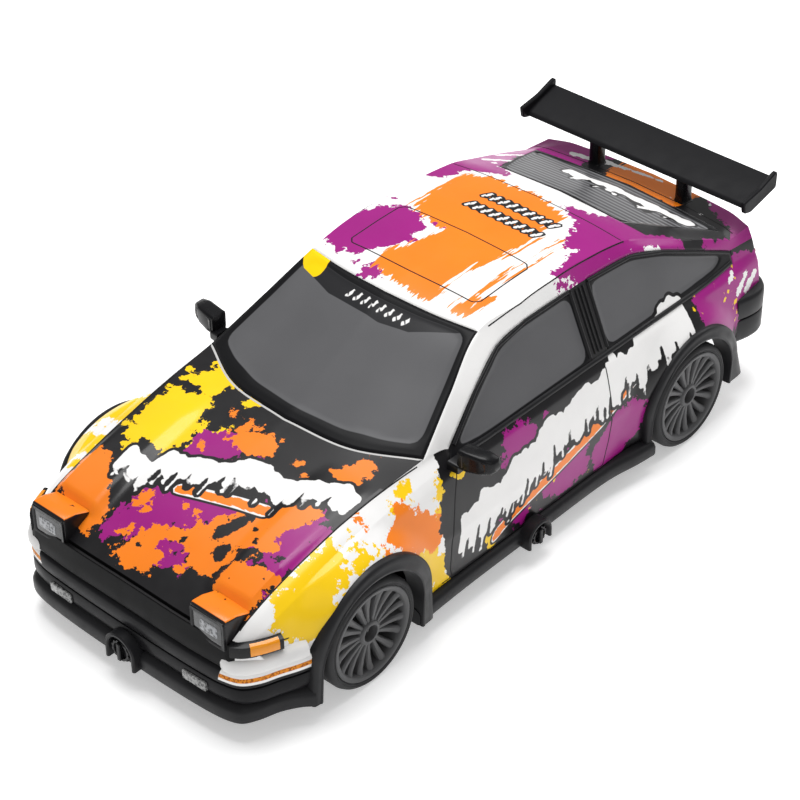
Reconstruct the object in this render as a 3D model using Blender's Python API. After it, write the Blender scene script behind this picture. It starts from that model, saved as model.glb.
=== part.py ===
"""A 1:24 class radio-controlled drift car: a lift-off hatchback coupe shell over a four-wheel-drive chassis.

Frame: +Z up, the car faces -Y, its left side is +X. The ground is z = 0, under the middle of the car's box.
Every length below is in millimetres and is scaled to metres when a mesh is made.
"""

import math

import bmesh
import bpy
import numpy as np
from mathutils import Matrix, Vector

MM = 0.001
GAP = 0.3                 # clearance between neighbouring pieces

# Driving dimensions
WHEELBASE = 108.0
AXLE_Y = WHEELBASE / 2
AXLE_Z = 13.0
TYRE_RADIUS = 13.0
TYRE_BORE = 11.4
RIM_RADIUS = 11.1
WHEEL_INNER = 29.8        # inner face of the tyre
WHEEL_OUTER = 39.2        # outer face of the tyre
SPOKES = 15
KINGPIN_X = 29.0
SHAFT_RADIUS = 1.0
BORE_RADIUS = 1.3

SHELL_THICKNESS = 1.2
FRONT_ARCH_RADIUS = 15.0
REAR_ARCH_RADIUS = 14.8

FLOOR_BOTTOM = 3.6        # underside of the chassis plate
FLOOR_TOP = 5.2
SKIRT_BOTTOM = 4.9
SKIRT_TOP = 8.7
NOSE_HEM = 18.6           # lower edge of the shell at the nose
TAIL_HEM = 19.8
FRONT_FLARE_RADIUS = 18.8
REAR_FLARE_RADIUS = 17.9
FLARE_REACH = 18.9        # from the front axle forward to the end of its flares
FLARE_INNER_X = 34.6
FRONT_FLARE_X = 40.4      # how far the flares stand out at the top of their arches
REAR_FLARE_X = 40.0
SILL_X = 38.8
BUMPER_BOTTOM, BUMPER_TOP = 9.2, 18.2
REAR_BUMPER_BOTTOM, REAR_BUMPER_TOP = 15.2, 27.5

POD_INNER, POD_OUTER = 18.5, 28.6
POD_BOTTOM, POD_TOP = 22.4, 30.6
POD_FRONT, POD_REAR = -84.9, -77.9
LENS_BOTTOM, LENS_TOP = 23.6, 29.3
LENS_DEPTH = -82.6        # back of the recess that holds the lens

LATCH_Z_FRONT, LATCH_Z_SIDE = 8.4, 6.9
LATCH_Y_SIDE = -1.5
NOTCH_RADIUS = 3.8        # opening round a latch's knob
BOSS_RADIUS = 4.9         # arch moulded round that opening

STEERING_REACH = 11.0     # kingpin to tie-rod pin, along the car
SERVO_ARM_REACH = 8.0
TIE_ROD_Y = -AXLE_Y - STEERING_REACH
SERVO_AXIS_Y = TIE_ROD_Y - SERVO_ARM_REACH
PIN_INSET = 4.0           # tie-rod pin inboard of the kingpin
PIN_RADIUS = 0.9

CROWN_RADIUS = 6.0
CROWN_X = 3.3
MOTOR_X = -10.0
SPUR_RADIUS = 7.5
PINION_RADIUS = 2.2
SPUR_TEETH, PINION_TEETH = 30, 8
CROWN_TEETH, BEVEL_TEETH = 16, 8
GEAR_Y = 30.5
BATTERY_X = 12.6
BATTERY_FRONT, BATTERY_REAR = -30.0, 24.0
SWITCH_X = -22.0
DECK_BOTTOM = 21.3

# Plan paths of the fitted bars, on the left side from the centreline outwards, as (x, y).
FRONT_BUMPER_PATH = [(0, -86.5), (12, -86.4), (22, -86.1), (27, -85.6), (31.1, -84.2), (33.6, -81.0),
                     (35.2, -76.9), (37.0, -72.4), (37.6, -70)]
FRONT_LIP_PATH = [(0, -87.4), (12, -87.3), (22, -86.9), (28, -86.2), (31.5, -84.8), (33.4, -81.6),
                  (34.9, -77.2), (36.9, -74.0), (39.0, -72.1), (39.3, -70)]
REAR_BUMPER_PATH = [(0, 90.0), (12, 89.9), (24, 89.4), (30.5, 88.5), (34.6, 86.6), (37, 83.2), (37.8, 77)]
MARKER_PATH = [(29.4, -85.0), (31.6, -83.4), (33.7, -80.3), (35.6, -75.9)]
TAIL_LAMP_PATH = [(12.5, 90.4), (23, 89.3), (31.0, 87.7)]
SILL_PATH = [(34.2, -39.2), (SILL_X, -39.2), (SILL_X, 20), (39.4, 26), (40.6, 33), (40.6, 39.4), (34.2, 39.4)]

# The shell's lines, from nose to tail. Each line has one point per station, as (x, y, z).
# Stations: hood edge, pod rear, hood front, front axle, hood rear, cowl, windscreen middle, roof front,
# roof, B-pillar front, B-pillar rear, roof rear, hatch glass top, glass middle, glass bottom, tail edge.
HEM = [(33.6, -78.6, 18.6), (35.2, -71.8, 18.6), (35.9, -65, 13), (36.2, -54, 10), (36.4, -38, 9.1),
       (36.5, -24, 9.1), (36.6, -12, 9.1), (36.6, -2, 9.1), (36.6, 8, 9.1), (36.6, 23, 9.1),
       (36.6, 28.5, 9.1), (36.5, 43, 9.1), (36.4, 54, 10), (36.3, 65, 13), (36.0, 75.5, 19.6), (35.2, 84.8, 19.8)]
RIDGE = [(33.3, -79.1, 20.6), (35.0, -74.2, 21.4), (36.0, -66, 21.6), (36.8, -54, 21.6), (37.1, -38, 21.5),
         (37.3, -24, 21.4), (37.4, -12, 21.4), (37.4, -2, 21.4), (37.4, 8, 21.4), (37.4, 23, 21.4),
         (37.4, 28.5, 21.4), (37.3, 43, 21.5), (37.1, 54, 21.6), (36.8, 65, 22), (36.2, 76, 24), (35.0, 84.8, 24)]
SHOULDER = [(32.3, -80.4, 22.7), (33.9, -75.4, 25.0), (34.6, -67, 28.2), (34.9, -54, 31.9), (35.0, -40, 33.5),
            (35.1, -24, 34.4), (35.1, -12, 34.5), (35.1, -2, 34.5), (35.1, 8, 34.5), (35.1, 23, 34.4),
            (35.1, 28.5, 34.4), (35.0, 43, 34.3), (34.9, 54, 34.1), (34.7, 65, 33.8), (34.3, 76.2, 33.2),
            (33.8, 84.9, 32.4)]
BELT = [(31.2, -81.6, 24.2), (32.6, -76.8, 27.2), (33.3, -67.5, 30.6), (33.5, -54, 34.1), (33.6, -41, 35.9),
        (33.5, -24, 36.9), (33.5, -12, 36.9), (33.5, -2, 36.9), (33.5, 8, 36.9), (33.5, 23, 36.8),
        (33.5, 28.5, 36.8), (33.4, 43, 36.6), (33.3, 54, 36.4), (33.0, 65, 36.0), (32.5, 76.2, 35.7),
        (32.6, 84.8, 35.4)]
GLASS_TOP = [(30.0, -82.6, 24.9), (30.9, -77.8, 28.3), (31.3, -68, 31.9), (31.6, -54, 35.3), (32.0, -42, 37.0),
             (31.7, -22.6, 38.9), (28.9, -11.5, 46.4), (26.7, -1.6, 51.6), (26.3, 8, 52.9), (26.3, 23, 52.9),
             (26.4, 28.5, 52.9), (27.0, 43, 52.2), (28.5, 53, 49.3), (30.1, 64.2, 44.4), (31.3, 76.4, 38.8),
             (31.5, 84.9, 38.2)]
RAIL = [(28.8, -83.4, 25.3), (29.3, -78.5, 28.8), (29.4, -68, 32.6), (29.7, -54, 36.2), (30.2, -44, 38.0),
        (31.0, -29.5, 39.8), (27.3, -17, 47.7), (23.9, -4.4, 55.3), (24.8, 8, 56.5), (24.6, 23, 56.9),
        (24.6, 28.5, 56.7), (24.9, 43, 54.9), (25.9, 52.5, 51.6), (28.5, 64.4, 46.4), (30.5, 77.0, 41.0),
        (30.0, 85.2, 40.6)]
MIDDLE = [(17.5, -84, 25.2), (17.5, -78, 28.2), (17.5, -68, 32.4), (17.5, -54, 36.6), (17.3, -45, 38.3),
          (17.0, -36.6, 39.7), (15.5, -21.5, 47.6), (13.5, -6.2, 55.7), (13.5, 8, 57.6), (13.8, 23, 57.7),
          (14.2, 28.5, 57.5), (15.5, 43.3, 55.6), (17.7, 51.8, 52.8), (22.8, 64.6, 47.4), (27.4, 77.4, 42.0),
          (23.0, 86.8, 41.2)]
CENTRE = [(0, -84, 25.2), (0, -78, 28.2), (0, -68, 32.5), (0, -54, 36.8), (0, -45.5, 38.5),
          (0, -38.4, 39.8), (0, -23.2, 47.8), (0, -7, 56.0), (0, 8, 57.9), (0, 23, 58.0),
          (0, 28.5, 57.8), (0, 43.3, 56.0), (0, 52, 53.4), (0, 65.5, 48.2), (0, 79, 42.5), (0, 88, 41.4)]
LINES = [HEM, RIDGE, SHOULDER, BELT, GLASS_TOP, RAIL, MIDDLE, CENTRE]
BELT_ROW, GLASS_ROW, RAIL_ROW, MIDDLE_ROW, CENTRE_ROW = 3, 4, 5, 6, 7
COWL, ROOF_FRONT, PILLAR_FRONT, PILLAR_REAR, HATCH_TOP, HATCH_BOTTOM = 5, 7, 9, 10, 12, 14

# Where the lines bend sharply along the car, and where the surface bends sharply across them.
SHARP_STATIONS = {0, COWL, HATCH_BOTTOM, 15}
SHARP_ROWS = {1, 3, 5}

STEPS = 2                 # shell facets between two stations

# The nose and tail faces: heights of their levels below the edge, and how far each stands out from it.
NOSE_LEVELS = [22.7, 20.6, NOSE_HEM]
NOSE_LEANS = [-0.4, -0.7, -0.8]
TAIL_LEVELS = [32.4, 24.0, TAIL_HEM]
TAIL_LEANS = [0.8, 1.0, 1.0]


# Materials and objects

def material(name, colour, roughness, metallic=0.0):
    found = bpy.data.materials.get(name)
    if found:
        return found
    made = bpy.data.materials.new(name)
    made.use_nodes = True
    shader = made.node_tree.nodes["Principled BSDF"]
    shader.inputs["Base Color"].default_value = (*colour, 1.0)
    shader.inputs["Roughness"].default_value = roughness
    shader.inputs["Metallic"].default_value = metallic
    made.diffuse_color = (*colour, 1.0)
    return made


def painted_plastic():
    return material("painted_plastic", (0.9, 0.9, 0.9), 0.3)


def smoked_plastic():
    return material("smoked_plastic", (0.16, 0.16, 0.17), 0.35)


def black_plastic():
    return material("black_plastic", (0.03, 0.03, 0.03), 0.5)


def chassis_plastic():
    return material("chassis_plastic", (0.05, 0.05, 0.055), 0.6)


def clear_plastic():
    return material("clear_plastic", (0.75, 0.78, 0.8), 0.1)


def amber_plastic():
    return material("amber_plastic", (0.9, 0.4, 0.05), 0.2)


def red_plastic():
    return material("red_plastic", (0.6, 0.03, 0.03), 0.2)


def grey_plastic():
    return material("grey_plastic", (0.2, 0.2, 0.2), 0.45)


def tyre_plastic():
    return material("tyre_plastic", (0.06, 0.06, 0.06), 0.6)


def gear_nylon():
    return material("gear_nylon", (0.8, 0.8, 0.76), 0.45)


def steel():
    return material("steel", (0.6, 0.6, 0.6), 0.3, 1.0)


def battery_wrap():
    return material("battery_wrap", (0.1, 0.25, 0.5), 0.35)


def board_green():
    return material("board_green", (0.02, 0.2, 0.08), 0.5)


def empty(name, at=(0, 0, 0)):
    """A frame for one moving group, at a point of its joint axis."""
    made = bpy.data.objects.new(name, None)
    made.location = Vector(at) * MM
    bpy.context.scene.collection.objects.link(made)
    return made


def add(name, mesh_data, finish, parent=None):
    """One object from a bmesh in millimetres in the car's frame. Its origin is its parent's."""
    origin = parent.location if parent else Vector((0, 0, 0))
    mesh_data.transform(Matrix.Scale(MM, 4))
    mesh_data.transform(Matrix.Translation(-origin))
    bmesh.ops.recalc_face_normals(mesh_data, faces=mesh_data.faces)
    mesh = bpy.data.meshes.new(name)
    mesh_data.to_mesh(mesh)
    mesh_data.free()
    made = bpy.data.objects.new(name, mesh)
    bpy.context.scene.collection.objects.link(made)
    if parent:
        made.parent = parent
    if finish:
        mesh.materials.append(finish)
    mesh.shade_smooth()
    mesh.set_sharp_from_angle(angle=math.radians(30))
    return made


def tool(name, mesh_data, parent=None):
    """A cutter, or a shape to join: never part of the result."""
    made = add(name, mesh_data, None, parent)
    made.hide_render = True
    made.display_type = "WIRE"
    return made


def combine(target, operation, *others):
    for number, other in enumerate(others):
        step = target.modifiers.new(f"{operation.lower()}_{number}", "BOOLEAN")
        step.operation = operation
        step.solver = "EXACT"
        step.object = other


def cut(target, *cutters):
    combine(target, "DIFFERENCE", *cutters)


def join(target, *others):
    combine(target, "UNION", *others)


# Plain solids, all returned as a bmesh in millimetres

def block(low, high, bevel=0.0):
    made = bmesh.new()
    low, high = Vector(low), Vector(high)
    size = high - low
    place = Matrix.Translation((low + high) / 2) @ Matrix.Diagonal((*size, 1.0))
    bmesh.ops.create_cube(made, size=1.0, matrix=place)
    if bevel:
        bmesh.ops.bevel(made, geom=made.edges[:], offset=bevel, segments=1, affect="EDGES")
    return made


def prism(outline, axis, low, high):
    """A flat outline pushed out along an axis. The outline's two numbers are the other two axes, in order."""
    made = bmesh.new()
    others = [k for k in range(3) if k != axis]
    rings = []
    for level in (low, high):
        ring = []
        for pair in outline:
            place = [0.0, 0.0, 0.0]
            place[axis] = level
            place[others[0]], place[others[1]] = pair
            ring.append(made.verts.new(place))
        rings.append(ring)
    made.faces.new(rings[0])
    made.faces.new(rings[1][::-1])
    count = len(outline)
    for k in range(count):
        after = (k + 1) % count
        made.faces.new((rings[0][k], rings[1][k], rings[1][after], rings[0][after]))
    return made


def arc(centre, radius, start, end, steps):
    """Points on an arc, with angles in degrees."""
    angles = np.radians(np.linspace(start, end, steps + 1))
    return [(centre[0] + radius * math.cos(a), centre[1] + radius * math.sin(a)) for a in angles]


def turned(profile, axis, centre, segments, closed=False):
    """A solid of revolution about a line through centre along an axis.

    The profile's points are (place along the axis, radius). An open profile starts and ends on the axis;
    a closed one is a ring's section and never touches it.
    """
    made = bmesh.new()
    others = [k for k in range(3) if k != axis]

    def point(along, radius, angle):
        place = list(centre)
        place[axis] = along
        place[others[0]] += radius * math.cos(angle)
        place[others[1]] += radius * math.sin(angle)
        return place

    rings = []
    for along, radius in profile:
        if radius == 0:
            rings.append([made.verts.new(point(along, 0, 0))])
        else:
            rings.append([made.verts.new(point(along, radius, 2 * math.pi * k / segments))
                          for k in range(segments)])
    pairs = list(zip(rings, rings[1:]))
    if closed:
        pairs.append((rings[-1], rings[0]))
    for first, second in pairs:
        for k in range(segments):
            after = (k + 1) % segments
            corners = [first[k % len(first)], first[after % len(first)],
                       second[after % len(second)], second[k % len(second)]]
            corners = list(dict.fromkeys(corners))
            if len(corners) > 2:
                made.faces.new(corners)
    return made


def rod(axis, centre, low, high, radius, segments=16):
    return turned([(low, 0), (low, radius), (high, radius), (high, 0)], axis, centre, segments)


def gear(axis, centre, low, high, radius, bore, teeth, tooth=0.8):
    """A toothed ring: its outline alternates between the tip circle and the root circle."""
    made = bmesh.new()
    others = [k for k in range(3) if k != axis]
    steps = teeth * 2
    layers = []
    for level in (low, high):
        for inner in (False, True):
            ring = []
            for k in range(steps):
                angle = 2 * math.pi * k / steps
                reach = bore if inner else (radius if k % 2 else radius - tooth)
                place = list(centre)
                place[axis] = level
                place[others[0]] += reach * math.cos(angle)
                place[others[1]] += reach * math.sin(angle)
                ring.append(made.verts.new(place))
            layers.append(ring)
    outer_low, inner_low, outer_high, inner_high = layers
    for first, second in ((outer_low, outer_high), (outer_high, inner_high),
                          (inner_high, inner_low), (inner_low, outer_low)):
        for k in range(steps):
            after = (k + 1) % steps
            made.faces.new((first[k], first[after], second[after], second[k]))
    return made


def mirrored(mesh_data):
    bmesh.ops.transform(mesh_data, matrix=Matrix.Diagonal((-1, 1, 1, 1)), verts=mesh_data.verts)
    bmesh.ops.reverse_faces(mesh_data, faces=mesh_data.faces)
    return mesh_data


def sided(mesh_data, side):
    """The shape as drawn on the left, or its mirror image on the right."""
    return mesh_data if side > 0 else mirrored(mesh_data)


SIDES = (("left", 1), ("right", -1))


# The shell's surface

def tangents(points, sharp):
    """Slopes at the knots of a curve. A sharp knot takes the slope of each neighbouring span by itself."""
    spans = np.diff(points, axis=0)
    lengths = np.maximum(np.linalg.norm(spans, axis=-1, keepdims=True), 1e-6)
    before = np.concatenate([spans[:1], spans])
    after = np.concatenate([spans, spans[-1:]])
    weight_before = 1 / np.concatenate([lengths[:1], lengths])
    weight_after = 1 / np.concatenate([lengths, lengths[-1:]])
    unit = (before * weight_before * weight_after + after * weight_after * weight_before)
    unit = unit / (weight_before + weight_after)
    left_length = np.concatenate([lengths[:1], lengths])
    right_length = np.concatenate([lengths, lengths[-1:]])
    into = unit * left_length
    out_of = unit * right_length
    for k in sharp:
        into[k] = before[k]
        out_of[k] = after[k]
    return into, out_of


def smooth_curve(points, sharp, steps):
    """A curve through its knots, with the given number of steps in each span."""
    points = np.asarray(points, float)
    into, out_of = tangents(points, sharp)
    result = [points[0]]
    for k in range(len(points) - 1):
        for step in range(1, steps + 1):
            t = step / steps
            result.append((2 * t**3 - 3 * t**2 + 1) * points[k] + (t**3 - 2 * t**2 + t) * out_of[k]
                          + (3 * t**2 - 2 * t**3) * points[k + 1] + (t**3 - t**2) * into[k + 1])
    return np.array(result)


def cage_normals(cage):
    """Outward directions at the cage's points, from the neighbours each way."""
    along = np.gradient(cage, axis=1)
    across = np.gradient(cage, axis=0)
    # On the centreline the surface is level from side to side.
    across[-1] = (-1, 0, 0)
    normals = np.cross(along, across)
    return normals / np.linalg.norm(normals, axis=-1, keepdims=True)


def offset_cage(depth):
    """The left half of the cage, moved in by a depth. Rows are the lines, columns are the stations."""
    cage = np.array(LINES, float)
    moved = cage - depth * cage_normals(cage)
    moved[-1, :, 0] = 0
    # The nose and the tail turn a corner here, so these stations also move along the car.
    moved[:, 0, 1] += depth
    moved[:, -1, 1] -= depth
    return moved


def main_grid(depth, steps_along, steps_across):
    cage = offset_cage(depth)
    lengthwise = np.array([smooth_curve(line, SHARP_STATIONS, steps_along) for line in cage])
    columns = [smooth_curve(lengthwise[:, k], SHARP_ROWS, steps_across) for k in range(lengthwise.shape[1])]
    return np.array(columns).swapaxes(0, 1)


def end_grid(cage, station, levels, leans):
    """The nose or the tail: rows BELT to CENTRE across, and the corner's own points down the side."""
    top = cage[BELT_ROW:, station]
    corner = cage[[2, 1, 0], station]
    rows = [top]
    for level, lean, at_corner in zip(levels, leans, corner):
        row = top.copy()
        row[:, 1] += lean
        row[1] = (at_corner + row[2]) / 2 + (0, lean / 2, 0)
        row[:, 2] = level
        row[0] = at_corner
        rows.append(row)
    return np.array(rows).swapaxes(0, 1)


class Skin:
    """Collects quads on both sides of the car, and welds points that coincide."""

    def __init__(self):
        self.mesh = bmesh.new()
        self.known = {}

    def vert(self, place):
        key = tuple(round(float(c), 4) for c in place)
        if key not in self.known:
            self.known[key] = self.mesh.verts.new(key)
        return self.known[key]

    def quad(self, *places):
        corners = list(dict.fromkeys(self.vert(place) for place in places))
        if len(corners) > 2 and not self.mesh.faces.get(corners):
            self.mesh.faces.new(corners)

    def both_sides(self, *places):
        self.quad(*places)
        flip = np.array((-1, 1, 1))
        self.quad(*[np.asarray(place) * flip for place in reversed(places)])


def thick_skin(grids, keep):
    """A closed solid between an outer and an inner set of grids, leaving out the cells that keep refuses."""
    skin = Skin()
    for name, outer, inner in grids:
        rows, columns = outer.shape[0] - 1, outer.shape[1] - 1

        def kept(i, j, name=name, rows=rows, columns=columns):
            return 0 <= i < rows and 0 <= j < columns and keep(name, i, j)

        for i in range(rows):
            for j in range(columns):
                if not kept(i, j):
                    continue
                corners = [(i, j), (i, j + 1), (i + 1, j + 1), (i + 1, j)]
                skin.both_sides(*[outer[c] for c in corners])
                skin.both_sides(*[inner[c] for c in reversed(corners)])
                for k, (di, dj) in enumerate(((-1, 0), (0, 1), (1, 0), (0, -1))):
                    if kept(i + di, j + dj) or joined_edge(name, i + di, j + dj, rows, columns):
                        continue
                    first, second = corners[k], corners[(k + 1) % 4]
                    skin.both_sides(outer[second], outer[first], inner[first], inner[second])
    return skin.mesh


def joined_edge(name, i, j, rows, columns):
    """Whether the cell beyond this edge belongs to the next grid, or to the car's other half."""
    if i >= rows:
        return True
    if name == "main":
        return j < 0 or j >= columns
    return i < 0 or j < 0


def shell_grids(outside=0.0, inside=SHELL_THICKNESS):
    """The left half of the shell as three pairs of grids: the outer surface and the inner one."""
    outer, inner = offset_cage(outside), offset_cage(inside)
    grids = [("main", main_grid(outside, STEPS, 1), main_grid(inside, STEPS, 1))]
    for name, station, levels, leans in (("nose", 0, NOSE_LEVELS, NOSE_LEANS),
                                         ("tail", -1, TAIL_LEVELS, TAIL_LEANS)):
        grids.append((name, end_grid(outer, station, levels, leans), end_grid(inner, station, levels, leans)))
    return grids


# Each window is a run of cells of the main grid: (first row, last row), (first station, last station).
WINDOWS = {
    "windscreen": ((RAIL_ROW, CENTRE_ROW), (COWL, ROOF_FRONT)),
    "rear_window": ((MIDDLE_ROW, CENTRE_ROW), (HATCH_TOP, HATCH_BOTTOM)),
    "door_window": ((BELT_ROW, GLASS_ROW), (COWL, PILLAR_FRONT)),
    "quarter_window": ((BELT_ROW, GLASS_ROW), (PILLAR_REAR, HATCH_BOTTOM)),
}


def is_body_colour(name, i, j):
    if name != "main":
        return True
    for rows, stations in WINDOWS.values():
        if rows[0] <= i < rows[1] and stations[0] * STEPS <= j < stations[1] * STEPS:
            return False
    return True


def inset(grid, whole_width):
    """A window's grid with its border moved in by the gap. A full-width window runs on over the centreline."""
    moved = grid.copy()

    def pull(edge, beside):
        step = beside - edge
        return edge + GAP * step / np.linalg.norm(step, axis=-1, keepdims=True)

    moved[0] = pull(moved[0], moved[1])
    if not whole_width:
        moved[-1] = pull(moved[-1], moved[-2])
    moved[:, 0] = pull(moved[:, 0], moved[:, 1])
    moved[:, -1] = pull(moved[:, -1], moved[:, -2])
    return moved


def window(name, side=None):
    """One pane, which fills its opening less the gap and is flush with the shell both sides."""
    rows, stations = WINDOWS[name]
    whole_width = rows[1] == CENTRE_ROW
    part = (slice(rows[0], rows[1] + 1), slice(stations[0] * STEPS, stations[1] * STEPS + 1))
    outer = inset(main_grid(0, STEPS, 1)[part], whole_width)
    inner = inset(main_grid(SHELL_THICKNESS, STEPS, 1)[part], whole_width)
    skin = Skin()
    place = skin.both_sides if side is None else skin.quad
    last_row, last_column = outer.shape[0] - 1, outer.shape[1] - 1
    for i in range(last_row):
        for j in range(last_column):
            place(outer[i, j], outer[i, j + 1], outer[i + 1, j + 1], outer[i + 1, j])
            place(inner[i + 1, j], inner[i + 1, j + 1], inner[i, j + 1], inner[i, j])
    border = [(0, j) for j in range(last_column + 1)]
    border += [(i, last_column) for i in range(1, last_row + 1)]
    if whole_width:
        border = [(i, 0) for i in range(last_row, 0, -1)] + border
    else:
        border += [(last_row, j) for j in range(last_column - 1, -1, -1)]
        border += [(i, 0) for i in range(last_row - 1, -1, -1)]
    for first, second in zip(border, border[1:]):
        place(outer[second], outer[first], inner[first], inner[second])
    return skin.mesh if side is None else sided(skin.mesh, side)


def envelope():
    """The shell as one filled solid, a gap larger all round: what a piece fitted to the outside clears."""
    skin = Skin()
    main, nose, tail = [outer for name, outer, inner in shell_grids(outside=-GAP)]
    main[0, :, 2] -= GAP
    nose[:, -1, 2] -= GAP
    tail[:, -1, 2] -= GAP
    for grid in (main, nose, tail):
        for i in range(grid.shape[0] - 1):
            for j in range(grid.shape[1] - 1):
                skin.both_sides(grid[i, j], grid[i, j + 1], grid[i + 1, j + 1], grid[i + 1, j])
    flip = np.array((-1, 1, 1))
    hem = main[0]
    for j in range(len(hem) - 1):
        skin.quad(hem[j], hem[j + 1], hem[j + 1] * flip, hem[j] * flip)
    for grid in (nose, tail):
        edge = list(grid[:, -1])
        skin.mesh.faces.new([skin.vert(p) for p in edge] + [skin.vert(p * flip) for p in edge[-2::-1]])
    return skin.mesh


def arch_cutter(axle_y, radius):
    return rod(0, (0, axle_y, AXLE_Z), -45, 45, radius, 36)


# Shell group

def body_shell(frame):
    shell = add("body_shell", thick_skin(shell_grids(), is_body_colour), painted_plastic(), frame)
    cutters = [tool("front_arch_cutter", arch_cutter(-AXLE_Y, FRONT_ARCH_RADIUS), frame),
               tool("rear_arch_cutter", arch_cutter(AXLE_Y, REAR_ARCH_RADIUS), frame)]
    for name, side in SIDES:
        recess = block((POD_INNER - GAP, -92, POD_BOTTOM - GAP), (POD_OUTER + GAP, POD_REAR + GAP, 44))
        cutters.append(tool(f"pod_cutter_{name}", sided(recess, side), frame))
    cut(shell, *cutters)


def windows(frame):
    add("windscreen", window("windscreen"), smoked_plastic(), frame)
    add("rear_window", window("rear_window"), smoked_plastic(), frame)
    for name, side in SIDES:
        add(f"door_window_{name}", window("door_window", side), smoked_plastic(), frame)
        add(f"quarter_window_{name}", window("quarter_window", side), smoked_plastic(), frame)


def headlights(frame):
    """Raised wedge-shaped lamp pods, each with a clear lens sunk in its front."""
    outline = [(POD_FRONT, POD_BOTTOM), (POD_FRONT + 0.5, POD_TOP), (POD_REAR, POD_TOP - 1.8), (POD_REAR, POD_BOTTOM)]
    rim_width = 1.1
    lens_front = [(LENS_DEPTH - 2, LENS_BOTTOM + GAP), (LENS_DEPTH - 1.6, LENS_TOP - GAP)]
    lens_back = [(LENS_DEPTH - GAP, LENS_TOP - GAP), (LENS_DEPTH - GAP, LENS_BOTTOM + GAP)]
    for name, side in SIDES:
        pod = add(f"headlight_pod_{name}", sided(prism(outline, 0, POD_INNER, POD_OUTER), side),
                  black_plastic(), frame)
        recess = block((POD_INNER + rim_width, POD_FRONT - 1, LENS_BOTTOM),
                       (POD_OUTER - rim_width, LENS_DEPTH, LENS_TOP))
        cut(pod, tool(f"lens_recess_{name}", sided(recess, side), frame))
        lens = prism(lens_front + lens_back, 0, POD_INNER + rim_width + GAP, POD_OUTER - rim_width - GAP)
        add(f"headlight_lens_{name}", sided(lens, side), clear_plastic(), frame)


def band(path, thickness, low, high, whole_width=True):
    """A wall of even thickness along a plan path on the left side, carried over to the right if it is whole."""
    points = np.array(path, float)
    slopes = np.gradient(points, axis=0)
    slopes /= np.linalg.norm(slopes, axis=1, keepdims=True)
    normals = np.stack([-slopes[:, 1], slopes[:, 0]], axis=1)
    if whole_width:
        normals[0] = (0, np.sign(normals[0, 1]))
    inner = points + thickness * normals
    flip = np.array((-1, 1))
    if whole_width:
        outline = list(points[::-1]) + list(points[1:] * flip) + list((inner[1:] * flip)[::-1]) + list(inner)
    else:
        outline = list(points[::-1]) + list(inner)
    return prism([tuple(p) for p in outline], 2, low, high)


def latch_arch(centre_across, centre_z, radius, bottom):
    """Half-round outline on legs that reach down to a level."""
    points = arc((centre_across, centre_z), radius, 0, 180, 12)
    return [(centre_across + radius, bottom)] + points + [(centre_across - radius, bottom)]


def behind_nose(name, frame):
    """A cutter for what would reach back past the front end of the front wheel flares."""
    return tool(name, block((-50, -AXLE_Y - FLARE_REACH - GAP, 0), (50, -60, 30)), frame)


def front_bumper(frame, body):
    bumper = add("front_bumper", band(FRONT_BUMPER_PATH, 2.4, BUMPER_BOTTOM, BUMPER_TOP), painted_plastic(), frame)
    groove = band([(x * 1.03, y - 1.0) for x, y in FRONT_BUMPER_PATH], 1.6, 13.6, 14.2)
    opening = prism(latch_arch(0, LATCH_Z_FRONT, BOSS_RADIUS + GAP, 4), 1, -90, -80)
    cutters = [tool("bumper_crease", groove, frame), tool("bumper_latch_opening", opening, frame)]
    for name, side in SIDES:
        low, high = Vector((16.4, -89, 9.9)), Vector((23.6, -85.3, 12.8))
        cutters.append(tool(f"fog_recess_{name}", sided(block(low, high), side), frame))
        lens = block((16.7, -86.3, 10.2), (23.3, -85.6, 12.5))
        add(f"fog_lamp_{name}", sided(lens, side), clear_plastic(), frame)
    cut(bumper, *cutters, behind_nose("bumper_end", frame), body)


def front_lip(frame):
    lip = add("front_lip", band(FRONT_LIP_PATH, 2.6, SKIRT_BOTTOM, SKIRT_TOP), black_plastic(), frame)
    boss = prism(latch_arch(0, LATCH_Z_FRONT, BOSS_RADIUS, SKIRT_BOTTOM), 1, -88.6, -85.4)
    join(lip, tool("front_latch_boss", boss, frame))
    notch = prism(latch_arch(0, LATCH_Z_FRONT, NOTCH_RADIUS, 0), 1, -95, -80)
    cut(lip, tool("front_latch_notch", notch, frame), behind_nose("lip_end", frame))


def marker_lamps(frame, body):
    """Amber corner lenses that wrap from the nose to the fender."""
    for name, side in SIDES:
        lens = band(MARKER_PATH, 3.2, 21.9, 25.0, whole_width=False)
        lamp = add(f"marker_lamp_{name}", sided(lens, side), amber_plastic(), frame)
        cut(lamp, body)


def rear_bumper(frame, body):
    wall = band(REAR_BUMPER_PATH, -2.6, REAR_BUMPER_BOTTOM, REAR_BUMPER_TOP)
    bumper = add("rear_bumper", wall, black_plastic(), frame)
    groove = band([(x * 1.02, y + 0.8) for x, y in REAR_BUMPER_PATH], -1.2, 21.5, 22.1)
    cut(bumper, body, tool("rear_bumper_crease", groove, frame))


def tail_lamps(frame):
    for name, side in SIDES:
        lens = band(TAIL_LAMP_PATH, -1.0, REAR_BUMPER_TOP + 0.8, REAR_BUMPER_TOP + 6.3, whole_width=False)
        add(f"tail_lamp_{name}", sided(lens, side), red_plastic(), frame)


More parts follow.
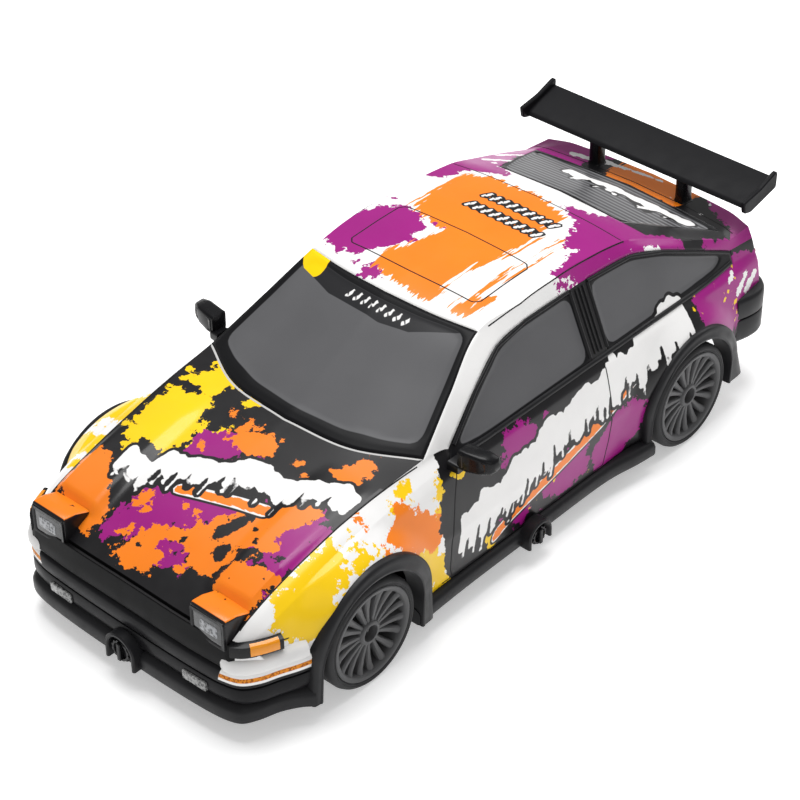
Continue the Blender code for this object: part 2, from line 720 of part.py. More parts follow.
def arch_flare(centre, radii, outer_centre, legs_y, legs_z, top_x):
    """The band round a wheel opening, on two legs. Its face leans out towards the top of the arch.

    The opening's centre, the outer edge's centre and the legs are in side view, as (y, z).
    """
    steps = 16
    inner = arc(centre, radii[0], 180, 0, steps)
    outer = arc(outer_centre, radii[1], 168, 12, steps)
    outer = [(legs_y[0], legs_z[0])] + outer + [(legs_y[1], legs_z[1])]
    inner = [(centre[0] - radii[0], legs_z[0])] + inner + [(centre[0] + radii[0], legs_z[1])]
    made = bmesh.new()
    sections = []
    for edge, opening in zip(outer, inner):
        rise = min(max((edge[1] - AXLE_Z) / 12, 0), 1)
        face_x = SILL_X + 0.4 + (top_x - SILL_X - 0.4) * rise
        sections.append([made.verts.new(place) for place in (
            (face_x, *opening), (face_x, *edge), (FLARE_INNER_X, *edge), (FLARE_INNER_X, *opening))])
    for first, second in zip(sections, sections[1:]):
        for k in range(4):
            after = (k + 1) % 4
            made.faces.new((first[k], second[k], second[after], first[after]))
    made.faces.new(sections[0])
    made.faces.new(sections[-1][::-1])
    bmesh.ops.recalc_face_normals(made, faces=made.faces)
    return made


def side_skirts(frame, body):
    """Sill and both wheel-arch flares of one side, moulded in one piece."""
    for name, side in SIDES:
        sill = prism(SILL_PATH, 2, SKIRT_BOTTOM, SKIRT_TOP)
        front = arch_flare((-AXLE_Y, AXLE_Z), (FRONT_ARCH_RADIUS, FRONT_FLARE_RADIUS), (-AXLE_Y - 0.5, AXLE_Z + 0.2),
                           (-AXLE_Y - FLARE_REACH, -AXLE_Y + 19.2), (SKIRT_BOTTOM, SKIRT_BOTTOM), FRONT_FLARE_X)
        rear = arch_flare((AXLE_Y, AXLE_Z), (REAR_ARCH_RADIUS, REAR_FLARE_RADIUS), (AXLE_Y, AXLE_Z),
                          (AXLE_Y - 17.6, AXLE_Y + 21.0), (SKIRT_BOTTOM, 8.6), REAR_FLARE_X)
        boss = prism(latch_arch(LATCH_Y_SIDE, LATCH_Z_SIDE, 4.6, SKIRT_BOTTOM), 0, 37.3, 40.3)
        notch = prism(latch_arch(LATCH_Y_SIDE, LATCH_Z_SIDE, NOTCH_RADIUS, 0), 0, 30, 45)
        skirt = add(f"side_skirt_{name}", sided(sill, side), black_plastic(), frame)
        cut(skirt, body)
        join(skirt, tool(f"front_flare_{name}", sided(front, side), frame),
             tool(f"rear_flare_{name}", sided(rear, side), frame),
             tool(f"side_latch_boss_{name}", sided(boss, side), frame))
        cut(skirt, tool(f"side_latch_notch_{name}", sided(notch, side), frame), body)


def mirrors(frame, body):
    for name, side in SIDES:
        head_plan = [(35.8, -24.6), (42.6, -23.2), (43.8, -21.2), (43.4, -19.6), (36.4, -20.6)]
        head = prism(head_plan, 2, 37.2, 41.8)
        arm = block((34.1, -25.6, 35.8), (36.6, -20.8, 38.6))
        mirror = add(f"mirror_{name}", sided(head, side), black_plastic(), frame)
        join(mirror, tool(f"mirror_arm_{name}", sided(arm, side), frame))
        cut(mirror, body)


def rear_wing(frame, body):
    blade_outline = [(79.4, 48.6), (84, 49.9), (90.0, 52.0), (90.0, 53.0), (84, 51.4), (79.4, 49.8)]
    plate_outline = [(78.3, 48.7), (80.4, 48.0), (90.2, 50.3), (90.2, 54.4), (89.6, 54.6), (77.6, 51.6)]
    blade = add("wing_blade", prism(blade_outline, 0, -32.2, 32.2), black_plastic(), frame)
    join(blade, *[tool(f"end_plate_{name}", sided(prism(plate_outline, 0, 32.0, 33.4), side), frame)
                  for name, side in SIDES])
    for name, side in SIDES:
        post = prism([(81.0, 41.0), (84.4, 41.0), (84.4, 49.6), (81.0, 48.7)], 0, 11.2, 14.6)
        strut = add(f"wing_strut_{name}", sided(post, side), black_plastic(), frame)
        cut(strut, body)


def latch_knob(name, axis, centre, face, inner):
    """A fluted quarter-turn knob on a short shaft, on its own frame at its axis."""
    frame = empty(f"{name}_frame", centre)
    knob_length = 3.8
    outward = 1 if face > inner else -1
    flutes = 5
    outline = []
    for k in range(30):
        angle = 2 * math.pi * k / 30
        radius = 2.9 + 0.35 * math.cos(flutes * angle)
        pair = [c for n, c in enumerate(centre) if n != axis]
        outline.append((pair[0] + radius * math.cos(angle), pair[1] + radius * math.sin(angle)))
    ends = sorted((face, face - outward * knob_length))
    knob = add(name, prism(outline, axis, *ends), black_plastic(), frame)
    shaft_ends = sorted((face - outward * 2, inner))
    join(knob, tool(f"{name}_shaft", rod(axis, centre, *shaft_ends, 1.4), frame))


def latches():
    latch_knob("latch_front", 1, (0, -86, LATCH_Z_FRONT), -90.0, -81.2)
    latch_knob("latch_left", 0, (38, LATCH_Y_SIDE, LATCH_Z_SIDE), 41.0, 31.2)
    latch_knob("latch_right", 0, (-38, LATCH_Y_SIDE, LATCH_Z_SIDE), -41.0, -31.2)


# Chassis group

def chassis_tub():
    half_plan = [(19, -82.4), (20, -80), (20, -38), (30, -33), (30, 33), (20, 38), (20, 80), (18, 82)]
    floor_plan = half_plan + [(-x, y) for x, y in reversed(half_plan)]
    tub = add("chassis_tub", prism(floor_plan, 2, FLOOR_BOTTOM, FLOOR_TOP), chassis_plastic())
    added = []
    for name, side in SIDES:
        pieces = {
            "side_wall": block((28.6, -32, 4), (30, 32, 13)),
            "front_rail": block((18.6, -79, 4), (20, -39, 8.4)),
            "rear_rail": block((18.6, 39, 4), (20, 79, 8.4)),
            "lower_arm": block((17, -57, 4.6), (31, -51, 6.6)),
            "axle_upright": block((17, 50.6, 4.6), (20, 57.4, 17)),
            "front_post": rod(2, (24, -28, 0), 4.6, 21, 2, 12),
            "rear_post": rod(2, (24, 29, 0), 4.6, 21, 2, 12),
            "latch_block": block((29, LATCH_Y_SIDE - 3.4, 3.9), (33.4, LATCH_Y_SIDE + 3.4, 10.2)),
        }
        added += [tool(f"{piece}_{name}", sided(shape, side)) for piece, shape in pieces.items()]
    added.append(tool("nose_block", block((-5, -83.2, 4), (5, -80.6, 12))))
    added.append(tool("motor_bulkhead", block((-17, 27.4, 4.6), (-3.2, 28.8, 16))))
    join(tub, *added)
    openings = [
        tool("battery_opening", block((BATTERY_X - 7.9, BATTERY_FRONT, 0),
                                        (BATTERY_X + 7.9, BATTERY_REAR, FLOOR_TOP + 1))),
        tool("switch_opening", block((SWITCH_X - 1.9, -16.1, 0), (SWITCH_X + 1.9, -8.1, FLOOR_TOP + 1))),
        tool("axle_bore", rod(0, (0, AXLE_Y, AXLE_Z), -25, 25, BORE_RADIUS)),
        tool("motor_bore", rod(1, (MOTOR_X, 0, AXLE_Z), 20, 29.1, 1.8)),
        tool("front_latch_bore", rod(1, (0, 0, LATCH_Z_FRONT), -90, -79, 1.7)),
        tool("side_latch_bore", rod(0, (0, LATCH_Y_SIDE, LATCH_Z_SIDE), -40, 40, 1.7)),
    ]
    openings += [tool(f"kingpin_bore_{name}", rod(2, (side * KINGPIN_X, -AXLE_Y, 0), 0, 8, PIN_RADIUS + GAP))
                 for name, side in SIDES]
    cut(tub, *openings)


def chassis_deck():
    add("chassis_deck", block((-26, -31, DECK_BOTTOM), (26, 32, 22.6)), chassis_plastic())


def circuit_board():
    add("circuit_board", block((-14, -24, 22.9), (14, 12, 24.3)), board_green())


def battery():
    add("battery_pack", rod(1, (BATTERY_X, 0, 12.5), -28, 22, 7.0, 24), battery_wrap())
    door = block((BATTERY_X - 7.9 + GAP, BATTERY_FRONT + GAP, FLOOR_BOTTOM),
                 (BATTERY_X + 7.9 - GAP, BATTERY_REAR - GAP, FLOOR_TOP - 0.2))
    add("battery_door", door, chassis_plastic())


def power_switch():
    frame = empty("switch_frame", (SWITCH_X, -13.6, FLOOR_BOTTOM))
    knob = block((SWITCH_X - 1.6, -15.8, 2.4), (SWITCH_X + 1.6, -11.4, 5.7))
    slider = add("power_switch", knob, black_plastic(), frame)
    plate = block((SWITCH_X - 3, -18.6, FLOOR_TOP + GAP), (SWITCH_X + 3, -8.6, 7.0))
    join(slider, tool("switch_plate", plate, frame))


def gearbox(name, axle_y, with_arms):
    """A hollow cover over a crown gear and its bevel pinion, open below, with slots for the shafts."""
    cover = add(name, block((-7.6, axle_y - 7.6, FLOOR_TOP + GAP), (7.8, axle_y + 7.6, 21.4)), chassis_plastic())
    if with_arms:
        arms = block((-31, axle_y - 3, 19.4), (31, axle_y + 3, 21.2))
        join(cover, tool(f"{name}_arms", arms))
    # The drive shaft comes in from the middle of the car.
    toward_middle = -1 if axle_y > 0 else 1
    shaft_side = sorted((axle_y, axle_y + toward_middle * 12))
    cutters = [
        tool(f"{name}_cavity", block((-6.4, axle_y - 6.5, 0), (6.6, axle_y + 6.5, 20.2))),
        tool(f"{name}_axle_slot", block((-12, axle_y - 1.4, 0), (12, axle_y + 1.4, AXLE_Z + 1.4))),
        tool(f"{name}_shaft_slot", block((-3.4, shaft_side[0], 0), (3.4, shaft_side[1], AXLE_Z + 3.4))),
    ]
    if with_arms:
        cutters += [tool(f"{name}_pin_{side}", rod(2, (side * KINGPIN_X, axle_y, 0), 19, 22, PIN_RADIUS + GAP))
                    for side in (-1, 1)]
    cut(cover, *cutters)


def drive_motor():
    motor = add("drive_motor", rod(1, (MOTOR_X, 0, AXLE_Z), 3, 27, 6.0, 24), steel())
    join(motor, tool("motor_nose", rod(1, (MOTOR_X, 0, AXLE_Z), 26, 27.2, 2.4)))


def motor_pinion():
    frame = empty("motor_pinion_frame", (MOTOR_X, GEAR_Y, AXLE_Z))
    pinion = add("motor_pinion", gear(1, (MOTOR_X, 0, AXLE_Z), GEAR_Y - 1, GEAR_Y + 3, PINION_RADIUS, 0.7,
                                         PINION_TEETH, 0.6), steel(), frame)
    join(pinion, tool("motor_spindle", rod(1, (MOTOR_X, 0, AXLE_Z), 27.6, GEAR_Y + 3.6, 0.8, 12), frame))


def drive_shaft():
    frame = empty("drive_shaft_frame", (0, 0, AXLE_Z))
    reach = AXLE_Y - 3.6
    shaft = add("drive_shaft", rod(1, (0, 0, AXLE_Z), -reach, reach, SHAFT_RADIUS, 12), steel(), frame)
    for name, side in (("rear", 1), ("front", -1)):
        ends = sorted((side * (reach - 4), side * reach - side * 0.2))
        bevel = gear(1, (0, 0, AXLE_Z), *ends, 2.9, 0.7, BEVEL_TEETH, 0.5)
        join(shaft, tool(f"bevel_pinion_{name}", bevel, frame))
    add("spur_gear", gear(1, (0, 0, AXLE_Z), GEAR_Y - 1, GEAR_Y + 3, SPUR_RADIUS, BORE_RADIUS, SPUR_TEETH, 0.6),
        gear_nylon(), frame)


def geared_axle(name, axle_y, reach, side, frame):
    """A wheel shaft with its crown gear pressed on, left or right of the drive shaft."""
    axle = add(name, rod(0, (0, axle_y, AXLE_Z), -reach, reach, SHAFT_RADIUS, 12), steel(), frame)
    teeth = gear(0, (0, axle_y, AXLE_Z), CROWN_X, CROWN_X + 2, CROWN_RADIUS, 0.7, CROWN_TEETH, 0.6)
    join(axle, tool(f"{name}_crown", sided(teeth, side), frame))


def rear_axle():
    frame = empty("rear_axle_frame", (0, AXLE_Y, AXLE_Z))
    geared_axle("rear_axle", AXLE_Y, 37, 1, frame)
    for name, side in SIDES:
        wheel(f"rear_{name}", side, AXLE_Y, frame)


def front_axle():
    frame = empty("front_axle_frame", (0, -AXLE_Y, AXLE_Z))
    geared_axle("front_axle", -AXLE_Y, 25.6, -1, frame)


def knuckle(name, side):
    """Steering knuckle with its kingpins, and the arm and pin that the tie rod moves."""
    frame = empty(f"knuckle_frame_{name}", (side * KINGPIN_X, -AXLE_Y, AXLE_Z))
    body = block((26.8, -AXLE_Y - 3, 7.1), (31, -AXLE_Y + 3, 18.9), 0.4)
    made = add(f"steering_knuckle_{name}", sided(body, side), chassis_plastic(), frame)
    pin_x = KINGPIN_X - PIN_INSET
    arm_plan = [(27, -56), (29.2, -56), (29.2, -58.6), (pin_x + 1.5, TIE_ROD_Y - 0.6), (pin_x, TIE_ROD_Y - 1.6),
                (pin_x - 1.5, TIE_ROD_Y - 0.6), (pin_x - 1.5, TIE_ROD_Y + 1.4)]
    join(made,
         tool(f"lower_kingpin_{name}", rod(2, (side * KINGPIN_X, -AXLE_Y, 0), 4.9, 9, PIN_RADIUS, 12), frame),
         tool(f"upper_kingpin_{name}", rod(2, (side * KINGPIN_X, -AXLE_Y, 0), 17, 21, PIN_RADIUS, 12), frame),
         tool(f"steering_arm_{name}", sided(prism(arm_plan, 2, 14.6, 16.2), side), frame),
         tool(f"steering_pin_{name}", rod(2, (side * pin_x, TIE_ROD_Y, 0), 15.4, 18.4, PIN_RADIUS, 12), frame))
    cut(made, tool(f"stub_bore_{name}", rod(0, (0, -AXLE_Y, AXLE_Z), -45, 45, BORE_RADIUS), frame))


def steering():
    servo = add("steering_servo", block((-8, -80, FLOOR_TOP + GAP), (8, TIE_ROD_Y - 1.6, 13.4), 0.3), black_plastic())
    join(servo, tool("servo_boss", rod(2, (0, SERVO_AXIS_Y, 0), 12, 14.2, 2.4)))
    arm_frame = empty("servo_arm_frame", (0, SERVO_AXIS_Y, 15.4))
    arm_plan = arc((0, SERVO_AXIS_Y), 2.4, 180, 360, 8) + arc((0, TIE_ROD_Y), 1.6, 0, 180, 8)
    arm = add("servo_arm", prism(arm_plan, 2, 14.6, 16.2), gear_nylon(), arm_frame)
    join(arm, tool("servo_arm_pin", rod(2, (0, TIE_ROD_Y, 0), 15.4, 18.4, PIN_RADIUS, 12), arm_frame))
    rod_frame = empty("tie_rod_frame", (0, TIE_ROD_Y, 17.2))
    bar = add("tie_rod", block((-26, TIE_ROD_Y - 1.4, 16.6), (26, TIE_ROD_Y + 1.4, 18.0)), chassis_plastic(),
              rod_frame)
    pin_x = KINGPIN_X - PIN_INSET
    slot = 1.55
    pads = [tool("centre_pad", block((-2.8, TIE_ROD_Y - 3.4, 16.6), (2.8, TIE_ROD_Y + 2.2, 18.0)), rod_frame)]
    slots = [tool("centre_slot", block((-1.3, TIE_ROD_Y - 2.4, 15), (1.3, TIE_ROD_Y + 1.2, 20)), rod_frame)]
    for name, side in SIDES:
        pad = block((pin_x - 2.7, TIE_ROD_Y - 3, 16.6), (pin_x + 2.7, TIE_ROD_Y + 4.3, 18.0))
        opening = block((pin_x - slot, TIE_ROD_Y - 1.95, 15), (pin_x + slot, TIE_ROD_Y + 3.25, 20))
        pads.append(tool(f"end_pad_{name}", sided(pad, side), rod_frame))
        slots.append(tool(f"end_slot_{name}", sided(opening, side), rod_frame))
    join(bar, *pads)
    cut(bar, *slots)
    for name, side in SIDES:
        knuckle(name, side)
        front_wheel(name, side)


def rim(name, side, axle_y, frame):
    """Barrel, dish with slim spokes, and hub, in one moulding."""
    centre = (0, axle_y, AXLE_Z)
    web_inner, web_outer = 36.2, 37.6
    profile = [(WHEEL_INNER + 0.2, RIM_RADIUS), (WHEEL_OUTER - 0.2, RIM_RADIUS), (WHEEL_OUTER - 0.2, 10.1),
               (web_outer, 9.7), (web_outer - 0.6, 3.2), (web_outer - 0.6, BORE_RADIUS), (32.2, BORE_RADIUS),
               (32.2, 2.8), (web_inner - 0.8, 3.2), (web_inner - 0.2, 9.6), (WHEEL_INNER + 0.2, 9.9)]
    made = add(f"rim_{name}", sided(turned(profile, 0, centre, 30, closed=True), side), grey_plastic(), frame)
    cutters = bmesh.new()
    for k in range(SPOKES):
        angle = 2 * math.pi * k / SPOKES
        window = []
        for radius, width in ((4.0, 0.35), (9.4, 1.55)):
            for across in (-width, width):
                window.append(Vector((0, radius * math.cos(angle) - across * math.sin(angle),
                                      radius * math.sin(angle) + across * math.cos(angle))))
        window = [window[0], window[2], window[3], window[1]]
        rings = [[cutters.verts.new(p + Vector((x, axle_y, AXLE_Z))) for p in window] for x in (34, 38.6)]
        cutters.faces.new(rings[0])
        cutters.faces.new(rings[1][::-1])
        for n in range(4):
            after = (n + 1) % 4
            cutters.faces.new((rings[0][n], rings[1][n], rings[1][after], rings[0][after]))
    bmesh.ops.recalc_face_normals(cutters, faces=cutters.faces)
    cut(made, tool(f"spoke_windows_{name}", sided(cutters, side), frame))


def wheel(name, side, axle_y, frame):
    rim(name, side, axle_y, frame)
    shoulder = 0.9
    profile = [(WHEEL_INNER, TYRE_RADIUS - shoulder), (WHEEL_INNER + shoulder, TYRE_RADIUS),
               (WHEEL_OUTER - shoulder, TYRE_RADIUS), (WHEEL_OUTER, TYRE_RADIUS - shoulder),
               (WHEEL_OUTER, TYRE_BORE), (WHEEL_INNER, TYRE_BORE)]
    tyre = turned(profile, 0, (0, axle_y, AXLE_Z), 36, closed=True)
    add(f"tyre_{name}", sided(tyre, side), tyre_plastic(), frame)


def front_wheel(name, side):
    frame = empty(f"front_wheel_frame_{name}", (side * KINGPIN_X, -AXLE_Y, AXLE_Z))
    stub = rod(0, (0, -AXLE_Y, AXLE_Z), 27.6, 37, SHAFT_RADIUS, 12)
    add(f"stub_axle_{name}", sided(stub, side), steel(), frame)
    wheel(f"front_{name}", side, -AXLE_Y, frame)


def main():
    for old in list(bpy.data.objects):
        bpy.data.objects.remove(old)
    shell_frame = empty("shell_frame")
    body = tool("shell_envelope", envelope(), shell_frame)
    body_shell(shell_frame)
    windows(shell_frame)
    headlights(shell_frame)
    front_bumper(shell_frame, body)
    front_lip(shell_frame)
    marker_lamps(shell_frame, body)
    rear_bumper(shell_frame, body)
    tail_lamps(shell_frame)
    side_skirts(shell_frame, body)
    mirrors(shell_frame, body)
    rear_wing(shell_frame, body)
    latches()
    chassis_tub()
    chassis_deck()
    circuit_board()
    battery()
    power_switch()
    gearbox("front_gearbox", -AXLE_Y, with_arms=True)
    gearbox("rear_gearbox", AXLE_Y, with_arms=False)
    drive_motor()
    motor_pinion()
    drive_shaft()
    rear_axle()
    front_axle()
    steering()


main()
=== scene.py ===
import math
import random

import bpy
import numpy as np
from mathutils import Matrix, Vector
from mathutils.bvhtree import BVHTree


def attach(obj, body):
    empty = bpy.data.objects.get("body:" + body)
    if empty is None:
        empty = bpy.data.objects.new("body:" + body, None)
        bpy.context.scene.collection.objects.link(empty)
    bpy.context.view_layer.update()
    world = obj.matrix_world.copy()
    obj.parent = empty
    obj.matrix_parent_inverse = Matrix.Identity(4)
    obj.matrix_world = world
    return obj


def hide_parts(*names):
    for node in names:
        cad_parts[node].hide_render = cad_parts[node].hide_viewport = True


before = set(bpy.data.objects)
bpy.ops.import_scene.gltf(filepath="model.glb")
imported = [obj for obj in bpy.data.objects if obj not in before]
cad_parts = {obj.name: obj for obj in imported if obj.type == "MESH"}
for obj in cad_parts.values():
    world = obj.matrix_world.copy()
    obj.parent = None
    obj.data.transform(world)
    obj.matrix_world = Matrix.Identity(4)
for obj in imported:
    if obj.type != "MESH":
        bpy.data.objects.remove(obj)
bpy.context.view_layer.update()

MM = 0.001

# The wheels and the openings round them
AXLE_Y = 54.0
AXLE_Z = 13.0
FRONT_ARCH_RADIUS = 15.0
REAR_ARCH_RADIUS = 14.8
SIDES = (("left", 1), ("right", -1))

# The shell's lines, from nose to tail, as (x, y, z) in millimetres: one point for each of 16 stations.
HEM = [(33.6, -78.6, 18.6), (35.2, -71.8, 18.6), (35.9, -65, 13), (36.2, -54, 10), (36.4, -38, 9.1),
       (36.5, -24, 9.1), (36.6, -12, 9.1), (36.6, -2, 9.1), (36.6, 8, 9.1), (36.6, 23, 9.1),
       (36.6, 28.5, 9.1), (36.5, 43, 9.1), (36.4, 54, 10), (36.3, 65, 13), (36.0, 75.5, 19.6),
       (35.2, 84.8, 19.8)]
RIDGE = [(33.3, -79.1, 20.6), (35.0, -74.2, 21.4), (36.0, -66, 21.6), (36.8, -54, 21.6), (37.1, -38, 21.5),
         (37.3, -24, 21.4), (37.4, -12, 21.4), (37.4, -2, 21.4), (37.4, 8, 21.4), (37.4, 23, 21.4),
         (37.4, 28.5, 21.4), (37.3, 43, 21.5), (37.1, 54, 21.6), (36.8, 65, 22), (36.2, 76, 24),
         (35.0, 84.8, 24)]
SHOULDER = [(32.3, -80.4, 22.7), (33.9, -75.4, 25.0), (34.6, -67, 28.2), (34.9, -54, 31.9),
            (35.0, -40, 33.5), (35.1, -24, 34.4), (35.1, -12, 34.5), (35.1, -2, 34.5), (35.1, 8, 34.5),
            (35.1, 23, 34.4), (35.1, 28.5, 34.4), (35.0, 43, 34.3), (34.9, 54, 34.1), (34.7, 65, 33.8),
            (34.3, 76.2, 33.2), (33.8, 84.9, 32.4)]
BELT = [(31.2, -81.6, 24.2), (32.6, -76.8, 27.2), (33.3, -67.5, 30.6), (33.5, -54, 34.1), (33.6, -41, 35.9),
        (33.5, -24, 36.9), (33.5, -12, 36.9), (33.5, -2, 36.9), (33.5, 8, 36.9), (33.5, 23, 36.8),
        (33.5, 28.5, 36.8), (33.4, 43, 36.6), (33.3, 54, 36.4), (33.0, 65, 36.0), (32.5, 76.2, 35.7),
        (32.6, 84.8, 35.4)]
GLASS_TOP = [(30.0, -82.6, 24.9), (30.9, -77.8, 28.3), (31.3, -68, 31.9), (31.6, -54, 35.3),
             (32.0, -42, 37.0), (31.7, -22.6, 38.9), (28.9, -11.5, 46.4), (26.7, -1.6, 51.6),
             (26.3, 8, 52.9), (26.3, 23, 52.9), (26.4, 28.5, 52.9), (27.0, 43, 52.2), (28.5, 53, 49.3),
             (30.1, 64.2, 44.4), (31.3, 76.4, 38.8), (31.5, 84.9, 38.2)]
RAIL = [(28.8, -83.4, 25.3), (29.3, -78.5, 28.8), (29.4, -68, 32.6), (29.7, -54, 36.2), (30.2, -44, 38.0),
        (31.0, -29.5, 39.8), (27.3, -17, 47.7), (23.9, -4.4, 55.3), (24.8, 8, 56.5), (24.6, 23, 56.9),
        (24.6, 28.5, 56.7), (24.9, 43, 54.9), (25.9, 52.5, 51.6), (28.5, 64.4, 46.4), (30.5, 77.0, 41.0),
        (30.0, 85.2, 40.6)]
MIDDLE = [(17.5, -84, 25.2), (17.5, -78, 28.2), (17.5, -68, 32.4), (17.5, -54, 36.6), (17.3, -45, 38.3),
          (17.0, -36.6, 39.7), (15.5, -21.5, 47.6), (13.5, -6.2, 55.7), (13.5, 8, 57.6), (13.8, 23, 57.7),
          (14.2, 28.5, 57.5), (15.5, 43.3, 55.6), (17.7, 51.8, 52.8), (22.8, 64.6, 47.4),
          (27.4, 77.4, 42.0), (23.0, 86.8, 41.2)]
CENTRE = [(0, -84, 25.2), (0, -78, 28.2), (0, -68, 32.5), (0, -54, 36.8), (0, -45.5, 38.5),
          (0, -38.4, 39.8), (0, -23.2, 47.8), (0, -7, 56.0), (0, 8, 57.9), (0, 23, 58.0), (0, 28.5, 57.8),
          (0, 43.3, 56.0), (0, 52, 53.4), (0, 65.5, 48.2), (0, 79, 42.5), (0, 88, 41.4)]
LINES = [HEM, RIDGE, SHOULDER, BELT, GLASS_TOP, RAIL, MIDDLE, CENTRE]
BELT_ROW, GLASS_ROW, RAIL_ROW, MIDDLE_ROW, CENTRE_ROW = 3, 4, 5, 6, 7
COWL, ROOF_FRONT, PILLAR_FRONT, PILLAR_REAR, HATCH_TOP, HATCH_BOTTOM, TAIL = 5, 7, 9, 10, 12, 14, 15
SHARP_STATIONS = {0, COWL, HATCH_BOTTOM, TAIL}
SHARP_ROWS = {1, 3, 5}
NOSE_LEVELS, NOSE_LEANS = [22.7, 20.6, 18.6], [-0.4, -0.7, -0.8]
TAIL_LEVELS, TAIL_LEANS = [32.4, 24.0, 19.8], [0.8, 1.0, 1.0]

ALONG = 18                              # fine steps between two stations
ACROSS = [16, 16, 6, 16, 6, 14, 18]     # fine steps between two lines

# Plan paths of the fitted bars, from the centreline outwards, as (x, y)
FRONT_BUMPER_PATH = [(0, -86.5), (12, -86.4), (22, -86.1), (27, -85.6), (31.1, -84.2), (33.6, -81.0),
                     (35.2, -76.9), (36.8, -73.2), (37.8, -70.2)]
FRONT_LIP_PATH = [(0, -87.4), (12, -87.3), (22, -86.9), (28, -86.2), (31.5, -84.8), (33.4, -81.6),
                  (34.9, -77.2), (37.0, -73.6), (39.2, -71.2)]
REAR_BUMPER_PATH = [(0, 90.0), (12, 89.9), (24, 89.4), (30.5, 88.5), (34.6, 86.6), (37.0, 83.4),
                    (37.3, 79.5), (36.2, 74.6)]

# The camera: azimuth, elevation and roll in degrees, its place in metres and its lens in millimetres
CAMERA_ANGLES = (42.5375, 36.901, -0.6326)
CAMERA_PLACE = (0.2935, -0.3225, 0.3505)
CAMERA_LENS = 110.01


# Finishes

def srgb(r, g, b):
    """A colour as seen on screen, 0 to 255, in the shaders' linear values."""
    def linear(c):
        c /= 255
        return c / 12.92 if c <= 0.04045 else ((c + 0.055) / 1.055) ** 2.4
    return (linear(r), linear(g), linear(b), 1.0)


BLACK = srgb(22, 21, 23)
WHITE = srgb(236, 235, 234)
ORANGE = srgb(242, 128, 26)
PURPLE = srgb(152, 20, 122)
YELLOW = srgb(246, 202, 10)


